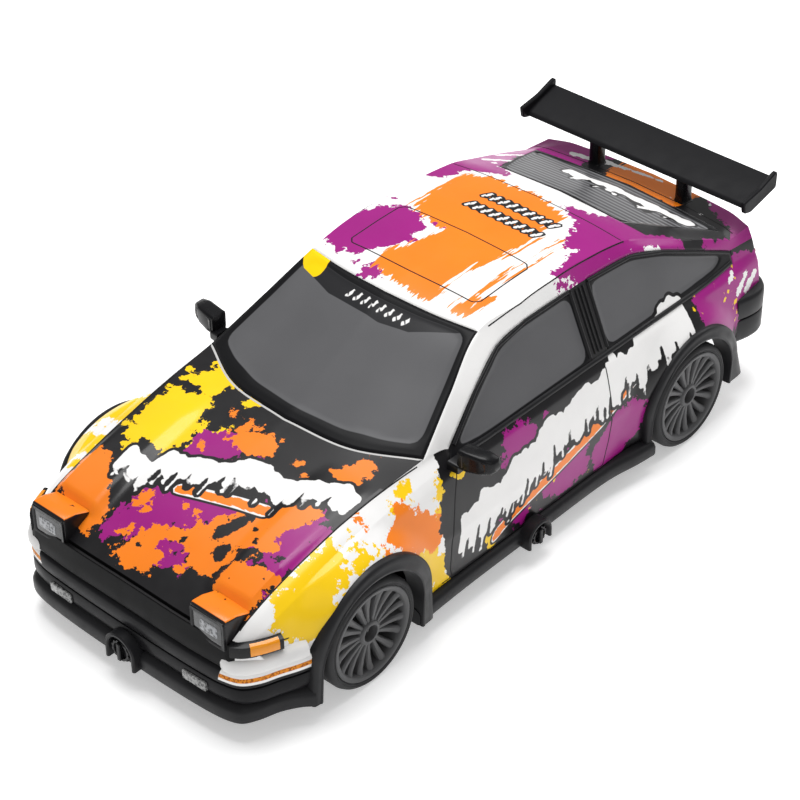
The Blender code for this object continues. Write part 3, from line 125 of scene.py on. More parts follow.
class Finish:
    """A node material in millimetres of the piece's own frame."""

    def __init__(self, name, roughness=0.45, **sockets):
        self.material = bpy.data.materials.new(name)
        self.material.use_nodes = True
        self.tree = self.material.node_tree
        self.shader = self.tree.nodes["Principled BSDF"]
        self.shader.inputs["Roughness"].default_value = roughness
        self.shader.inputs["Specular IOR Level"].default_value = 0.2
        for socket, value in sockets.items():
            self.shader.inputs[socket.replace("_", " ")].default_value = value
        place = self.tree.nodes.new("ShaderNodeTexCoord")
        scaled = self.tree.nodes.new("ShaderNodeVectorMath")
        scaled.operation = "SCALE"
        scaled.inputs["Scale"].default_value = 1 / MM
        self.tree.links.new(place.outputs["Object"], scaled.inputs[0])
        self.place = scaled.outputs[0]

    def feed(self, socket, value):
        """Link a node's output to a socket, or set the socket's own value."""
        if isinstance(value, bpy.types.NodeSocket):
            self.tree.links.new(value, socket)
        else:
            socket.default_value = value

    def math(self, operation, *values):
        """The result of a maths node."""
        node = self.tree.nodes.new("ShaderNodeMath")
        node.operation = operation
        for socket, value in zip(node.inputs, values):
            self.feed(socket, value)
        return node.outputs[0]

    def stretched(self, sizes, shift=0.0):
        """The place divided by a size along each axis, in millimetres."""
        node = self.tree.nodes.new("ShaderNodeMapping")
        self.tree.links.new(self.place, node.inputs["Vector"])
        node.inputs["Scale"].default_value = [1 / s for s in sizes]
        node.inputs["Location"].default_value = (shift, 0.7 * shift, 1.3 * shift)
        return node.outputs[0]

    def noise(self, sizes, detail=3.0, shift=0.0, roughness=0.5):
        """Smooth noise whose lumps have these sizes in millimetres."""
        node = self.tree.nodes.new("ShaderNodeTexNoise")
        self.tree.links.new(self.stretched(sizes, shift), node.inputs["Vector"])
        node.inputs["Scale"].default_value = 1.0
        node.inputs["Detail"].default_value = detail
        node.inputs["Roughness"].default_value = roughness
        return node.outputs["Fac"]

    def cells(self, sizes):
        """The distance to the nearest of scattered points, about these sizes apart."""
        node = self.tree.nodes.new("ShaderNodeTexVoronoi")
        self.tree.links.new(self.stretched(sizes), node.inputs["Vector"])
        node.inputs["Scale"].default_value = 1.0
        return node.outputs["Distance"]

    def along(self, axis):
        """The place along one axis, in millimetres."""
        node = self.tree.nodes.new("ShaderNodeSeparateXYZ")
        self.tree.links.new(self.place, node.inputs[0])
        return node.outputs[axis]

    def attribute(self, name):
        """A number stored on the piece's points."""
        node = self.tree.nodes.new("ShaderNodeAttribute")
        node.attribute_name = name
        return node.outputs["Fac"]

    def span(self, value, low, high, to_low=0.0, to_high=1.0):
        """A value carried from one range to another and held at its ends."""
        node = self.tree.nodes.new("ShaderNodeMapRange")
        for socket, number in zip(node.inputs, (value, low, high, to_low, to_high)):
            self.feed(socket, number)
        return node.outputs[0]

    def edge(self, value, width=0.12):
        """1 where a distance is positive and 0 where it is negative, with a narrow change between."""
        return self.span(value, -width / 2, width / 2)

    def mix(self, share, first, second):
        """The first colour where the share is 0 and the second where it is 1."""
        node = self.tree.nodes.new("ShaderNodeMix")
        node.data_type = "RGBA"
        self.feed(node.inputs["Factor"], share)
        self.feed(node.inputs[6], first)
        self.feed(node.inputs[7], second)
        return node.outputs[2]

    def shaded(self, colour, size=9.0, depth=0.12):
        """The colour with slow, slight changes of depth, as in moulded or printed plastic."""
        wave = self.noise((size,) * 3, 4)
        if not isinstance(colour, bpy.types.NodeSocket):
            darker = [c * (1 - depth) for c in colour[:3]]
            lighter = [min(c * (1 + depth), 1) for c in colour[:3]]
            return self.mix(wave, (*darker, 1.0), (*lighter, 1.0))
        node = self.tree.nodes.new("ShaderNodeHueSaturation")
        self.tree.links.new(colour, node.inputs["Color"])
        self.tree.links.new(self.span(wave, 0.3, 0.7, 1 - depth, 1 + depth), node.inputs["Value"])
        return node.outputs[0]

    def grain(self, size, depth, detail=2.0, strength=0.5):
        """A fine bump, its size and depth in millimetres."""
        bump = self.tree.nodes.new("ShaderNodeBump")
        bump.inputs["Strength"].default_value = strength
        bump.inputs["Distance"].default_value = depth * MM
        self.tree.links.new(self.noise((size,) * 3, detail, 5.0), bump.inputs["Height"])
        self.tree.links.new(bump.outputs[0], self.shader.inputs["Normal"])

    def rough(self, low, high, size=4.0):
        """Roughness that wanders between two values."""
        self.tree.links.new(self.span(self.noise((size,) * 3, 5, 2.0), 0.3, 0.7, low, high),
                            self.shader.inputs["Roughness"])

    def paint(self, colour):
        """Set the colour and return the material."""
        self.feed(self.shader.inputs["Base Color"], colour)
        return self.material


def moulded(name, colour, low, high, grain=0.35, depth=0.02, **sockets):
    """Moulded plastic: slight changes of depth and sheen, and a fine grain."""
    finish = Finish(name, **sockets)
    finish.rough(low, high)
    finish.grain(grain, depth)
    return finish.paint(finish.shaded(colour))


def turned_metal(name, colour, axis):
    """Metal with fine turning marks round an axis."""
    finish = Finish(name, Metallic=1.0)
    sizes = [3.0, 3.0, 3.0]
    sizes[axis] = 0.12
    marks = finish.noise(sizes, 3)
    finish.tree.links.new(finish.span(marks, 0.3, 0.7, 0.22, 0.42), finish.shader.inputs["Roughness"])
    return finish.paint(finish.shaded(colour, 5.0, 0.1))


# Building meshes

def add_piece(name, points, faces, finishes, body, stands_for=(), angle=35, face_finish=None):
    """One visual piece from points in millimetres, which moves with a CAD body."""
    mesh = bpy.data.meshes.new(name)
    mesh.from_pydata((np.asarray(points, float) * MM).tolist(), [], [list(map(int, f)) for f in faces])
    for finish in finishes if isinstance(finishes, list) else [finishes]:
        mesh.materials.append(finish)
    if face_finish is not None:
        mesh.polygons.foreach_set("material_index", np.asarray(face_finish, np.int32))
    mesh.update()
    mesh.shade_smooth()
    mesh.set_sharp_from_angle(angle=math.radians(angle))
    piece = bpy.data.objects.new(name, mesh)
    bpy.context.scene.collection.objects.link(piece)
    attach(piece, body)
    if stands_for:
        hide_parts(*stands_for)
    return piece


class Shape:
    """Points and faces collected in millimetres."""

    def __init__(self):
        self.points = []
        self.faces = []

    def add(self, points, faces):
        start = len(self.points)
        self.points += [tuple(map(float, p)) for p in points]
        self.faces += [[start + k for k in face] for face in faces]

    def loft(self, sections, closed_section=True, closed_path=False, caps=True):
        """Quads between sections that have the same number of points."""
        count = len(sections[0])
        points = [p for section in sections for p in section]
        faces = []
        last = len(sections) if closed_path else len(sections) - 1
        for n in range(last):
            here, there = n * count, (n + 1) % len(sections) * count
            for k in range(count if closed_section else count - 1):
                after = (k + 1) % count
                faces.append([here + k, here + after, there + after, there + k])
        if caps and not closed_path:
            faces.append(list(range(count))[::-1])
            faces.append([(len(sections) - 1) * count + k for k in range(count)])
        self.add(points, faces)

    def turned(self, profile, axis, centre, segments, closed=False, wave=None):
        """A surface of revolution. The profile's points are (place along the axis, radius)."""
        others = [k for k in range(3) if k != axis]
        sections = []
        for k in range(segments):
            angle = 2 * math.pi * k / segments
            section = []
            for along, radius in profile:
                reach = radius + (wave(angle, radius) if wave else 0)
                place = list(centre)
                place[axis] = along
                place[others[0]] += reach * math.cos(angle)
                place[others[1]] += reach * math.sin(angle)
                section.append(place)
            sections.append(section)
        self.loft(sections, closed_section=closed, closed_path=True, caps=False)

    def prism(self, outline, axis, low, high, bevel=0.0):
        """A flat outline pushed out along an axis, with its rims drawn in by a bevel."""
        outline = np.asarray(outline, float)
        others = [k for k in range(3) if k != axis]
        small = shrunk(outline, bevel) if bevel else outline
        layers = [(low, small), (low + bevel, outline), (high - bevel, outline), (high, small)]
        if not bevel:
            layers = [layers[0], layers[3]]
        sections = []
        for level, ring in layers:
            section = []
            for pair in ring:
                place = [0.0, 0.0, 0.0]
                place[axis] = level
                place[others[0]], place[others[1]] = pair
                section.append(place)
            sections.append(section)
        self.loft(sections)

    def mirrored(self):
        """The shape on the other side of the car."""
        flipped = Shape()
        flipped.points = [(-x, y, z) for x, y, z in self.points]
        flipped.faces = [face[::-1] for face in self.faces]
        return flipped

    def sided(self, side):
        """The shape, or its mirror image when the side is -1."""
        return self if side > 0 else self.mirrored()

    def piece(self, name, finish, body, stands_for=(), slot=None, angle=35):
        """Make the shape a visible piece."""
        return add_piece(name, self.points, self.faces, finish, body, stands_for, angle)

    def pair(self, name, finish, node=None, slot="black_plastic", angle=40):
        """The shape and its mirror image, as two pieces of the shell that stand for a pair of nodes."""
        for side_name, side in SIDES:
            stands_for = (f"{node}_{side_name}",) if node else ()
            self.sided(side).piece(f"{name}_{side_name}", finish, "shell", stands_for, slot, angle)


def shrunk(outline, distance):
    """The outline with every side moved in."""
    before, after = np.roll(outline, 1, axis=0), np.roll(outline, -1, axis=0)
    into = (outline - before) / np.maximum(np.linalg.norm(outline - before, axis=1, keepdims=True), 1e-9)
    out_of = (after - outline) / np.maximum(np.linalg.norm(after - outline, axis=1, keepdims=True), 1e-9)
    area = np.sum(outline[:, 0] * after[:, 1] - after[:, 0] * outline[:, 1])
    turn = 1 if area > 0 else -1
    normal = turn * np.stack([-(into + out_of)[:, 1], (into + out_of)[:, 0]], axis=1)
    normal /= np.maximum(np.linalg.norm(normal, axis=1, keepdims=True), 1e-9)
    lean = np.maximum(np.sum(normal * turn * np.stack([-into[:, 1], into[:, 0]], axis=1), axis=1), 0.4)
    return outline + normal * (distance / lean)[:, None]


def rounded(outline, radius=1.6, steps=5):
    """The outline with every corner turned into a smooth bend that starts at most a radius before it."""
    outline = np.array(outline, float)
    points = []
    for before, corner, after in zip(np.roll(outline, 1, axis=0), outline, np.roll(outline, -1, axis=0)):
        into, out_of = before - corner, after - corner
        start = corner + into * min(radius / max(np.linalg.norm(into), 1e-9), 0.45)
        end = corner + out_of * min(radius / max(np.linalg.norm(out_of), 1e-9), 0.45)
        for t in np.linspace(0, 1, steps):
            points.append((1 - t)**2 * start + 2 * t * (1 - t) * corner + t**2 * end)
    return np.array(points)


# The shell's surface

def tangents(points, sharp):
    """Slopes at the knots of a curve. A sharp knot takes the slope of each neighbouring span by itself."""
    spans = np.diff(points, axis=0)
    lengths = np.maximum(np.linalg.norm(spans, axis=-1, keepdims=True), 1e-6)
    before = np.concatenate([spans[:1], spans])
    after = np.concatenate([spans, spans[-1:]])
    weight_before = 1 / np.concatenate([lengths[:1], lengths])
    weight_after = 1 / np.concatenate([lengths, lengths[-1:]])
    unit = (before * weight_before * weight_after + after * weight_after * weight_before)
    unit = unit / (weight_before + weight_after)
    into = unit * np.concatenate([lengths[:1], lengths])
    out_of = unit * np.concatenate([lengths, lengths[-1:]])
    for k in sharp:
        into[k] = before[k]
        out_of[k] = after[k]
    return into, out_of


def smooth_curve(points, sharp, steps):
    """A curve through its knots. steps is the number in each span, or one number for all."""
    points = np.asarray(points, float)
    into, out_of = tangents(points, sharp)
    result = [points[0]]
    for k in range(len(points) - 1):
        count = steps[k] if isinstance(steps, list) else steps
        for step in range(1, count + 1):
            t = step / count
            result.append((2 * t**3 - 3 * t**2 + 1) * points[k] + (t**3 - 2 * t**2 + t) * out_of[k]
                          + (3 * t**2 - 2 * t**3) * points[k + 1] + (t**3 - t**2) * into[k + 1])
    return np.array(result)


def main_grid():
    """The fine grid of the shell's left half: the cage smoothed lengthwise and then across."""
    cage = np.array(LINES, float)
    lengthwise = np.array([smooth_curve(line, SHARP_STATIONS, ALONG) for line in cage])
    columns = [smooth_curve(lengthwise[:, k], SHARP_ROWS, ACROSS) for k in range(lengthwise.shape[1])]
    return np.array(columns).swapaxes(0, 1)


def end_grid(station, levels, leans):
    """The nose or the tail face: the fine top edge carried down through its levels."""
    top = MAIN[row_at(BELT_ROW):, column_at(station)]
    corners = np.array([SHOULDER[station], RIDGE[station], HEM[station]], float)
    rows = [top]
    belt_to_rail = row_at(RAIL_ROW) - row_at(BELT_ROW)
    for level, lean, at_corner in zip(levels, leans, corners):
        row = top.copy()
        row[:, 1] += lean
        row[:, 2] = level
        share = np.clip(np.arange(len(row)) / belt_to_rail, 0, 1)[:, None] ** 0.7
        row = at_corner * (1 - share) + row * share
        rows.append(row)
    downwards = np.array(rows)
    return np.array([smooth_curve(downwards[:, k], {0}, 6) for k in range(len(top))])


def row_at(line):
    """The fine row on which a line of the cage lies."""
    return sum(ACROSS[:line])


def column_at(station):
    """The fine column on which a station lies."""
    return ALONG * station


MAIN = main_grid()
NOSE = end_grid(0, NOSE_LEVELS, NOSE_LEANS)
TAIL_FACE = end_grid(TAIL, TAIL_LEVELS, TAIL_LEANS)

WINDOWS = {
    "windscreen": ((RAIL_ROW, CENTRE_ROW), (COWL, ROOF_FRONT)),
    "rear_window": ((MIDDLE_ROW, CENTRE_ROW), (HATCH_TOP, HATCH_BOTTOM)),
    "door_window": ((BELT_ROW, GLASS_ROW), (COWL, PILLAR_FRONT)),
    "quarter_window": ((BELT_ROW, GLASS_ROW), (PILLAR_REAR, HATCH_BOTTOM)),
}


def window_part(name):
    """The part of the fine grid that a window fills."""
    rows, stations = WINDOWS[name]
    return MAIN[row_at(rows[0]):row_at(rows[1]) + 1, column_at(stations[0]):column_at(stations[1]) + 1]


class Skin:
    """Collects quads on both sides of the car, welding points that coincide."""

    def __init__(self):
        self.points = []
        self.known = {}
        self.faces = []
        self.finishes = []

    def point(self, place):
        """The number of the point here. Places that round to the same 0.001 mm share one."""
        key = (round(float(place[0]), 3), round(float(place[1]), 3), round(float(place[2]), 3))
        if key not in self.known:
            self.known[key] = len(self.points)
            self.points.append(key)
        return self.known[key]

    def quad(self, places, finish=0):
        """Add a face, without corners that coincide."""
        corners = list(dict.fromkeys(self.point(place) for place in places))
        if len(corners) > 2:
            self.faces.append(corners)
            self.finishes.append(finish)

    def grid(self, grid, keep=None, finish=None, both=True):
        """Add a grid's quads on one or both sides, each with the finish for its row, column and side."""
        flip = np.array((-1, 1, 1))
        for i in range(grid.shape[0] - 1):
            for j in range(grid.shape[1] - 1):
                if keep and not keep(i, j):
                    continue
                places = [grid[i, j], grid[i, j + 1], grid[i + 1, j + 1], grid[i + 1, j]]
                self.quad(places, finish(i, j, 1) if finish else 0)
                if both:
                    self.quad([p * flip for p in reversed(places)], finish(i, j, -1) if finish else 0)


# Printed decoration. Each shape is an outline in millimetres, in plan (x, y) or in side view (y, z).

def reach_inside(places, outline):
    """Distance of each place into a closed outline; negative outside it."""
    nearest = np.full(len(places), 1e9)
    inside = np.zeros(len(places), bool)
    for start, end in zip(outline, np.roll(outline, -1, axis=0)):
        step = end - start
        share = np.clip(((places - start) @ step) / max(step @ step, 1e-9), 0, 1)
        nearest = np.minimum(nearest, np.linalg.norm(places - start - share[:, None] * step, axis=1))
        crosses = (start[1] > places[:, 1]) != (end[1] > places[:, 1])
        rise = step[1] if abs(step[1]) > 1e-9 else 1e-9
        inside ^= crosses & (places[:, 0] < start[0] + (places[:, 1] - start[1]) * step[0] / rise)
    return np.where(inside, nearest, -nearest)


def reach_stroke(places, stroke):
    """Distance into a round-ended stroke (start, end, start radius, end radius)."""
    start, end, first, last = np.array(stroke[0]), np.array(stroke[1]), stroke[2], stroke[3]
    step = end - start
    share = np.clip(((places - start) @ step) / max(step @ step, 1e-9), 0, 1)
    return first + (last - first) * share - np.linalg.norm(places - start - share[:, None] * step, axis=1)


def reach_shapes(places, outlines=(), strokes=()):
    """The greatest distance into any of the shapes."""
    reach = np.full(len(places), -30.0)
    for outline in outlines:
        reach = np.maximum(reach, reach_inside(places, rounded(outline)))
    for stroke in strokes:
        reach = np.maximum(reach, reach_stroke(places, stroke))
    return reach


def paint_drips(line, up, height, seed, fade=1.0):
    """A band of wet paint along a line, as (strokes, slits): a wavy rope with runs below and short notches.

    The band's height goes from the given one at its start to that times fade at its end.
    """
    rng = random.Random(seed)
    up = np.array(up, float)
    along = np.array([up[1], -up[0]])
    line = np.array(line, float)
    lengths = np.concatenate([[0], np.cumsum(np.linalg.norm(np.diff(line, axis=0), axis=1))])
    strokes, slits = [], []
    wave = rng.uniform(0, 6)
    next_notch = 1.8
    for distance in np.arange(0.8, lengths[-1], 0.9):
        middle = np.array([np.interp(distance, lengths, line[:, k]) for k in range(2)])
        tall = height * (1 + (fade - 1) * distance / lengths[-1])
        tall *= 0.8 + 0.14 * math.sin(distance * 0.55 + wave) + 0.07 * math.sin(distance * 1.9)
        top = middle + up * (tall * rng.uniform(0.4, 0.5) - 1)
        bottom = middle - up * (tall * rng.uniform(0.34, 0.5) - 1)
        strokes.append((top, bottom, 1.2, 1.0))
        if rng.random() < 0.4:
            run = bottom - up * rng.uniform(1.4, 4.6)
            strokes += [(bottom, run, 0.4, 0.3), (run, run, 0.5, 0.5)]
        if distance > next_notch:
            next_notch = distance + rng.uniform(3.0, 5.2)
            lean = along * rng.uniform(-0.6, 0.6)
            reach = rng.uniform(0.15, 0.4) * tall
            slits.append((middle - up * tall * 0.6, middle - up * (tall * 0.5 - reach) + lean, 0.6, 0.35))
    return strokes, slits


def reach_drips(places, drips):
    """The distance of every place into the paint runs, less their notches."""
    strokes, slits = drips
    return np.minimum(reach_shapes(places, (), strokes), -reach_shapes(places, (), slits))


def spatter(region, count, seed, low=0.25, high=1.0):
    """Small round drops scattered over a rectangle (first across, first up, last across, last up)."""
    rng = random.Random(seed)
    drops = []
    for _ in range(count):
        place = (rng.uniform(region[0], region[2]), rng.uniform(region[1], region[3]))
        radius = low + (high - low) * rng.random() ** 3
        drops.append((place, place, radius, radius))
    return drops


HOOD_YELLOW = [
    [(-25, -61), (-21, -59), (-16, -58.5), (-14.5, -55), (-13.5, -51), (-17, -45), (-17, -42), (-20.5, -43),
     (-23.5, -45.5), (-27, -45), (-27.5, -49.5), (-27.5, -54.5), (-26, -57.5)],
    [(-27, -41.5), (-25.5, -38.5), (-24, -35.5), (-21.5, -34.5), (-16.5, -36), (-18, -38), (-18, -40),
     (-20, -42), (-23.5, -41.5)],
]
HOOD_PURPLE = [
    [(-12, -54.5), (-12, -51), (-9.5, -50), (-7, -48), (-4.5, -48), (-1.5, -49.5), (-0.5, -52), (-3, -53),
     (-6, -57), (-10.5, -57.5)],
    [(-12.5, -80.5), (-14, -77), (-13, -74), (-11.5, -72), (-13.5, -66.5), (-10.5, -65), (-6.5, -66),
     (-1.5, -65), (7, -62), (13, -59.5), (16.5, -56.5), (17, -53), (18, -55), (17.5, -59), (13.5, -61.5),
     (8.5, -63.5), (5.5, -69), (0.5, -71.5), (-4.5, -74.5), (-6.5, -76.5)],
    [(-0.5, -75.5), (3.5, -73), (6.5, -73), (7.5, -74.5), (7, -76), (9, -77.5), (7, -78.5), (0.5, -78)],
    [(21.5, -63), (24, -58), (25, -56), (29.5, -55.5), (30.5, -58.5), (29.5, -63.5), (29.5, -67),
     (28.5, -70), (27, -71), (24.5, -69), (21, -66)],
    [(16, -67), (18, -64.5), (20, -64.5), (19, -67), (17.5, -68)],
]
HOOD_ORANGE = [
    [(-28.5, -77.5), (-29, -74.5), (-28.5, -68), (-26.5, -66.5), (-23, -67.5), (-18.5, -72), (-16, -74.5),
     (-15.5, -78), (-16, -81.5), (-18.5, -81)],
    [(-6, -48), (-4.5, -45), (0.5, -44.5), (3.5, -43.5), (5.5, -47.5), (1.5, -50), (-2, -50)],
    [(18, -44), (19, -41.5), (21, -39.5), (22, -36.5), (24, -36.5), (26, -39.5), (25, -43), (22, -45)],
    [(-7.5, -81.5), (-6.5, -79), (-5.5, -76), (0.5, -71.5), (4.5, -71), (7, -66), (12, -60.5), (17, -57),
     (18.5, -53), (21, -51.5), (26, -54), (24, -57.5), (21.5, -60.5), (21, -63), (23.5, -65.5),
     (22.5, -67.5), (17.5, -68), (15.5, -67.5), (16, -71), (17, -73.5), (12, -76), (7, -76), (7.5, -74),
     (3.5, -73), (0, -75), (0.5, -77), (3, -78), (3, -81), (-2, -82)],
    [(17.5, -76.5), (18.5, -73.5), (20.5, -71.5), (24, -70.5), (29, -70), (28.5, -73.5), (28.5, -79.5),
     (25, -81.5), (21.5, -81.5)],
    [(-12.5, -70), (-11, -67.5), (-9.5, -67.5), (-8.5, -70.5), (-11, -72)],
]
HOOD_DARK = [
    [(8.5, -69.5), (8.3, -67), (10, -64.5), (11.5, -61.5), (13.2, -60.5), (14, -62), (13, -65), (11.5, -68),
     (10, -70)],
    [(11.5, -72.5), (11.8, -70), (13.8, -68.5), (15, -70), (14.5, -73)],
]
HOOD_DRIP_LINE = [(-21.5, -65), (-14.5, -65.5), (-13, -61), (-8.5, -60), (-2, -58.5), (2.5, -54),
                  (8.5, -53.5), (14.5, -53.5), (18, -51), (24, -47.5), (28, -49)]
HOOD_DRIPS = (8.4, 11)                 # height and seed

FENDER_YELLOW = [
    [(-74, 30), (-69.5, 31.5), (-65, 33), (-58, 35), (-57, 33.5), (-60, 33), (-59, 31.5), (-60, 31),
     (-64.5, 29), (-64, 24), (-70, 21), (-76, 24)],
    [(-54, 34), (-52.5, 32), (-55.5, 32), (-59, 31.5), (-58.5, 31.5)],
    [(-41, 37.5), (-37, 38), (-36, 36.5), (-39, 36.5)],
    [(-29, 36), (-24.5, 34), (-27.5, 30.5), (-30.5, 29.5)],
    [(-39, 24), (-33, 21.5), (-29.5, 16), (-28, 9.5), (-29.5, 7.5), (-33.5, 8.5), (-33, 13.5)],
    [(-20, 22), (-14.5, 24.5), (-12.5, 17.5), (-11, 10), (-13, 8.5)],
]
FENDER_ORANGE = [
    [(-46, 32), (-41, 35), (-38, 34), (-31.5, 29), (-29.5, 25), (-33, 21.5), (-42, 27.5), (-43.5, 28.5)],
]
FAR_FENDER_YELLOW = [
    [(-70, 23), (-68, 32), (-63, 35), (-62, 29), (-64, 23)],
    [(-58, 29), (-57, 37), (-50, 39), (-50, 32), (-53, 29)],
    [(-45, 26), (-44, 33), (-38, 34), (-38, 26)],
]
FLANK_BLACK = [
    [(-27, 38), (-31, 25), (-28, 9.5), (-26.5, 5), (100, 5), (100, 60), (-20, 60)],
]
FLANK_PURPLE = [
    [(-8, 36.5), (0.5, 34), (2, 30), (-4.5, 29), (-9.5, 30.5)],
    [(-9.5, 16), (-3.5, 16.5), (-2, 11.5), (-4.5, 9.5)],
    [(19.5, 15), (26.5, 22), (34.5, 22.5), (37.5, 20), (36.5, 13.5), (28, 8.5), (23, 8.5)],
    [(1.5, 19), (10, 21), (16.5, 20.5), (19, 12), (9, 10.5), (3.5, 13.5)],
    [(58, 28), (60, 36), (72, 38), (90, 34), (92, 22), (80, 20), (71, 22.5), (64, 26)],
]
FLANK_YELLOW = [
    [(-18.5, 17), (-15, 19), (-13.5, 14), (-12.5, 10), (-14.5, 9)],
    [(-26, 36), (-22, 36.5), (-20, 33.5), (-24, 33)],
]
FLANK_DRIP_LINE = [(-24.5, 19.5), (-18, 20.5), (-10, 22), (-2, 24.5), (6, 27), (14, 28), (22, 29.5),
                   (30, 30.5), (38, 31), (46, 33.5), (54, 34)]
FLANK_DRIPS = (14.5, 5, 0.8)           # height at the front, seed, and the share of it left at the rear
FLANK_LEAN = (0.12, 0.99)              # which way is up in the band, in side view
FLANK_STREAK = [(-14, 10.5), (-8, 13.5), (8, 17.6), (24, 22.3), (37, 26.8), (37.5, 29.4), (24, 24.9),
                (8, 20.4), (-8, 16.2), (-13.5, 13.6)]
HOOD_STREAK = [(-6.5, -65.6), (0, -63.8), (8, -61.6), (15.5, -60.0), (15.8, -57.6), (8, -59.4), (0, -61.8),
               (-6, -63.4)]

ROOF_ORANGE = [
    [(-7.5, -2.5), (-9.5, 4.5), (-6.5, 6.5), (-6.5, 12.5), (-4.5, 17), (-11, 18), (-16.5, 20), (-17.5, 26),
     (-19, 34), (-18.5, 40.5), (-15.5, 43.5), (-9, 44), (-2, 44.5), (5.5, 43), (10.5, 40.5), (11.5, 32.5),
     (13.5, 26), (12.5, 18), (10, 10.5), (9, 4), (10.5, -1), (10.5, -4.5), (3.5, -4)],
    [(15.5, -4), (16.5, 4), (20.5, 6), (19, -3)],
    [(15.4, 4.5), (17.4, 18), (16, 32.5), (17.2, 32.5), (18.7, 18), (16.7, 4.5)],
]
ROOF_PURPLE = [
    [(-26, -1), (-26, 4.5), (-25.5, 9.5), (-23.5, 14), (-17.5, 19), (-13, 18), (-8.5, 15), (-8.5, 9),
     (-11.5, 3), (-14.5, -1.5)],
    [(-9.5, -5), (-8, -1), (-6, -2), (-4.5, -4.5), (-6.5, -5.5)],
    [(-26.5, 34), (-27, 43), (-26, 54), (-12, 49), (-20, 41.5), (-21, 35)],
    [(7, 45.5), (12, 47), (17, 54), (27, 54), (27.5, 42.5), (27, 31), (25, 19), (22.5, 27), (21.5, 33.5),
     (18.5, 30), (14.5, 41)],
]
ROOF_MARK_ROWS = (28.5, 34.5)

TAIL_PURPLE = [
    [(-34, 48), (-34, 92), (-10, 90), (-16, 76), (-24, 66), (-18, 52)],
    [(24, 48), (29, 52), (30.5, 60), (27.5, 61), (25, 55)],
    [(29, 68), (36, 66), (36, 84), (27, 92), (14, 92), (18, 85), (30, 79)],
]
TAIL_ORANGE = [[(-8, 78), (-8, 92), (14, 92), (14, 78)]]

# Brush strokes, as (start, end, start radius, end radius)
TAIL_STROKES = [((-24, 54), (-20, 62), 0.9, 0.5), ((-27, 62), (-23, 72), 0.8, 0.4),
                ((-20, 82), (-6, 85), 1.0, 0.4), ((-14, 84.5), (4, 86.5), 0.6, 0.4)]
QUARTER_STROKES = [((75.5, 29.5), (79.5, 32.5), 1.0, 0.7), ((79, 28.6), (83, 30.8), 1.1, 0.8),
                   ((73, 33.5), (74.6, 34.6), 0.7, 0.4)]


def livery(name, base, layers):
    """Glossy printed film: a base colour with rough-edged splashes laid over it in order."""
    finish = Finish(name, Coat_Weight=0.25, Coat_Roughness=0.18)
    colour = base
    for number, layer in enumerate(layers):
        reach = finish.attribute(layer["reach"])
        wander = layer.get("wander", 0.0)
        if wander:
            size, detail = layer.get("size", (2.2, 2.2, 2.2)), layer.get("detail", 5.0)
            wave = finish.noise(size, detail, 3.7 * number + 1, 0.62)
            stray = finish.math("MULTIPLY", finish.math("SUBTRACT", wave, 0.5), wander)
            reach = finish.math("ADD", reach, stray)
        reach = finish.math("ADD", reach, layer.get("grow", 0.0))
        colour = finish.mix(finish.edge(reach), colour, layer["colour"])
    finish.rough(0.3, 0.42)
    finish.grain(1.6, 0.02, strength=0.25)
    return finish.paint(finish.shaded(colour, 12.0, 0.04))


SPLASH = {"wander": 8.0, "size": (2.2, 2.2, 2.2), "detail": 9.0, "grow": 0.5}


def hood_finish():
    return livery("printed_hood", BLACK, [
        {"reach": "hood_yellow", "colour": YELLOW, **SPLASH},
        {"reach": "hood_purple", "colour": PURPLE, **SPLASH},
        {"reach": "hood_orange", "colour": ORANGE, **SPLASH},
        {"reach": "hood_dark", "colour": BLACK, "wander": 3.0, "size": (1.6, 1.6, 1.6), "detail": 8.0},
        {"reach": "hood_streak", "colour": BLACK, "grow": 0.9},
        {"reach": "hood_streak", "colour": WHITE, "grow": 0.35},
        {"reach": "hood_streak", "colour": ORANGE, "wander": 1.6, "size": (3.0, 0.7, 3.0)},
        {"reach": "hood_drips", "colour": BLACK, "grow": 0.75},
        {"reach": "hood_drips", "colour": WHITE, "wander": 0.5, "size": (1.2, 1.2, 1.2)},
    ])


FLANK_LAYERS = [
    {"reach": "flank_black", "colour": BLACK, "wander": 4.0, "size": (2.4, 2.4, 2.4)},
    {"reach": "flank_purple", "colour": PURPLE, **SPLASH},
    {"reach": "flank_yellow", "colour": YELLOW, "wander": 3.0, "size": (1.6, 1.6, 1.6), "detail": 8.0},
    {"reach": "flank_streak", "colour": BLACK, "grow": 0.9},
    {"reach": "flank_streak", "colour": WHITE, "grow": 0.35},
    {"reach": "flank_streak", "colour": ORANGE, "wander": 1.8, "size": (3.0, 3.0, 0.7)},
    {"reach": "quarter_strokes", "colour": WHITE, "wander": 2.6, "size": (1.0, 1.0, 1.0), "detail": 8.0},
    {"reach": "flank_drips", "colour": BLACK, "grow": 0.8},
    {"reach": "flank_drips", "colour": WHITE, "wander": 0.5, "size": (1.2, 1.2, 1.2)},
]


def flank_finish():
    return livery("printed_flank", WHITE, [
        {"reach": "fender_yellow", "colour": YELLOW, **SPLASH},
        {"reach": "fender_orange", "colour": ORANGE, **SPLASH},
        *FLANK_LAYERS,
    ])


def far_flank_finish():
    return livery("printed_flank_right", WHITE, [
        {"reach": "far_fender_yellow", "colour": YELLOW, **SPLASH},
        *FLANK_LAYERS,
    ])


def roof_finish():
    streak = (1.1, 14.0, 3.0)
    return livery("printed_roof", WHITE, [
        {"reach": "roof_purple", "colour": PURPLE, **SPLASH},
        {"reach": "roof_orange", "colour": ORANGE, "wander": 9.0, "size": streak, "detail": 3.0},
        {"reach": "roof_marks", "colour": BLACK, "grow": 0.5},
        {"reach": "roof_marks", "colour": WHITE},
    ])


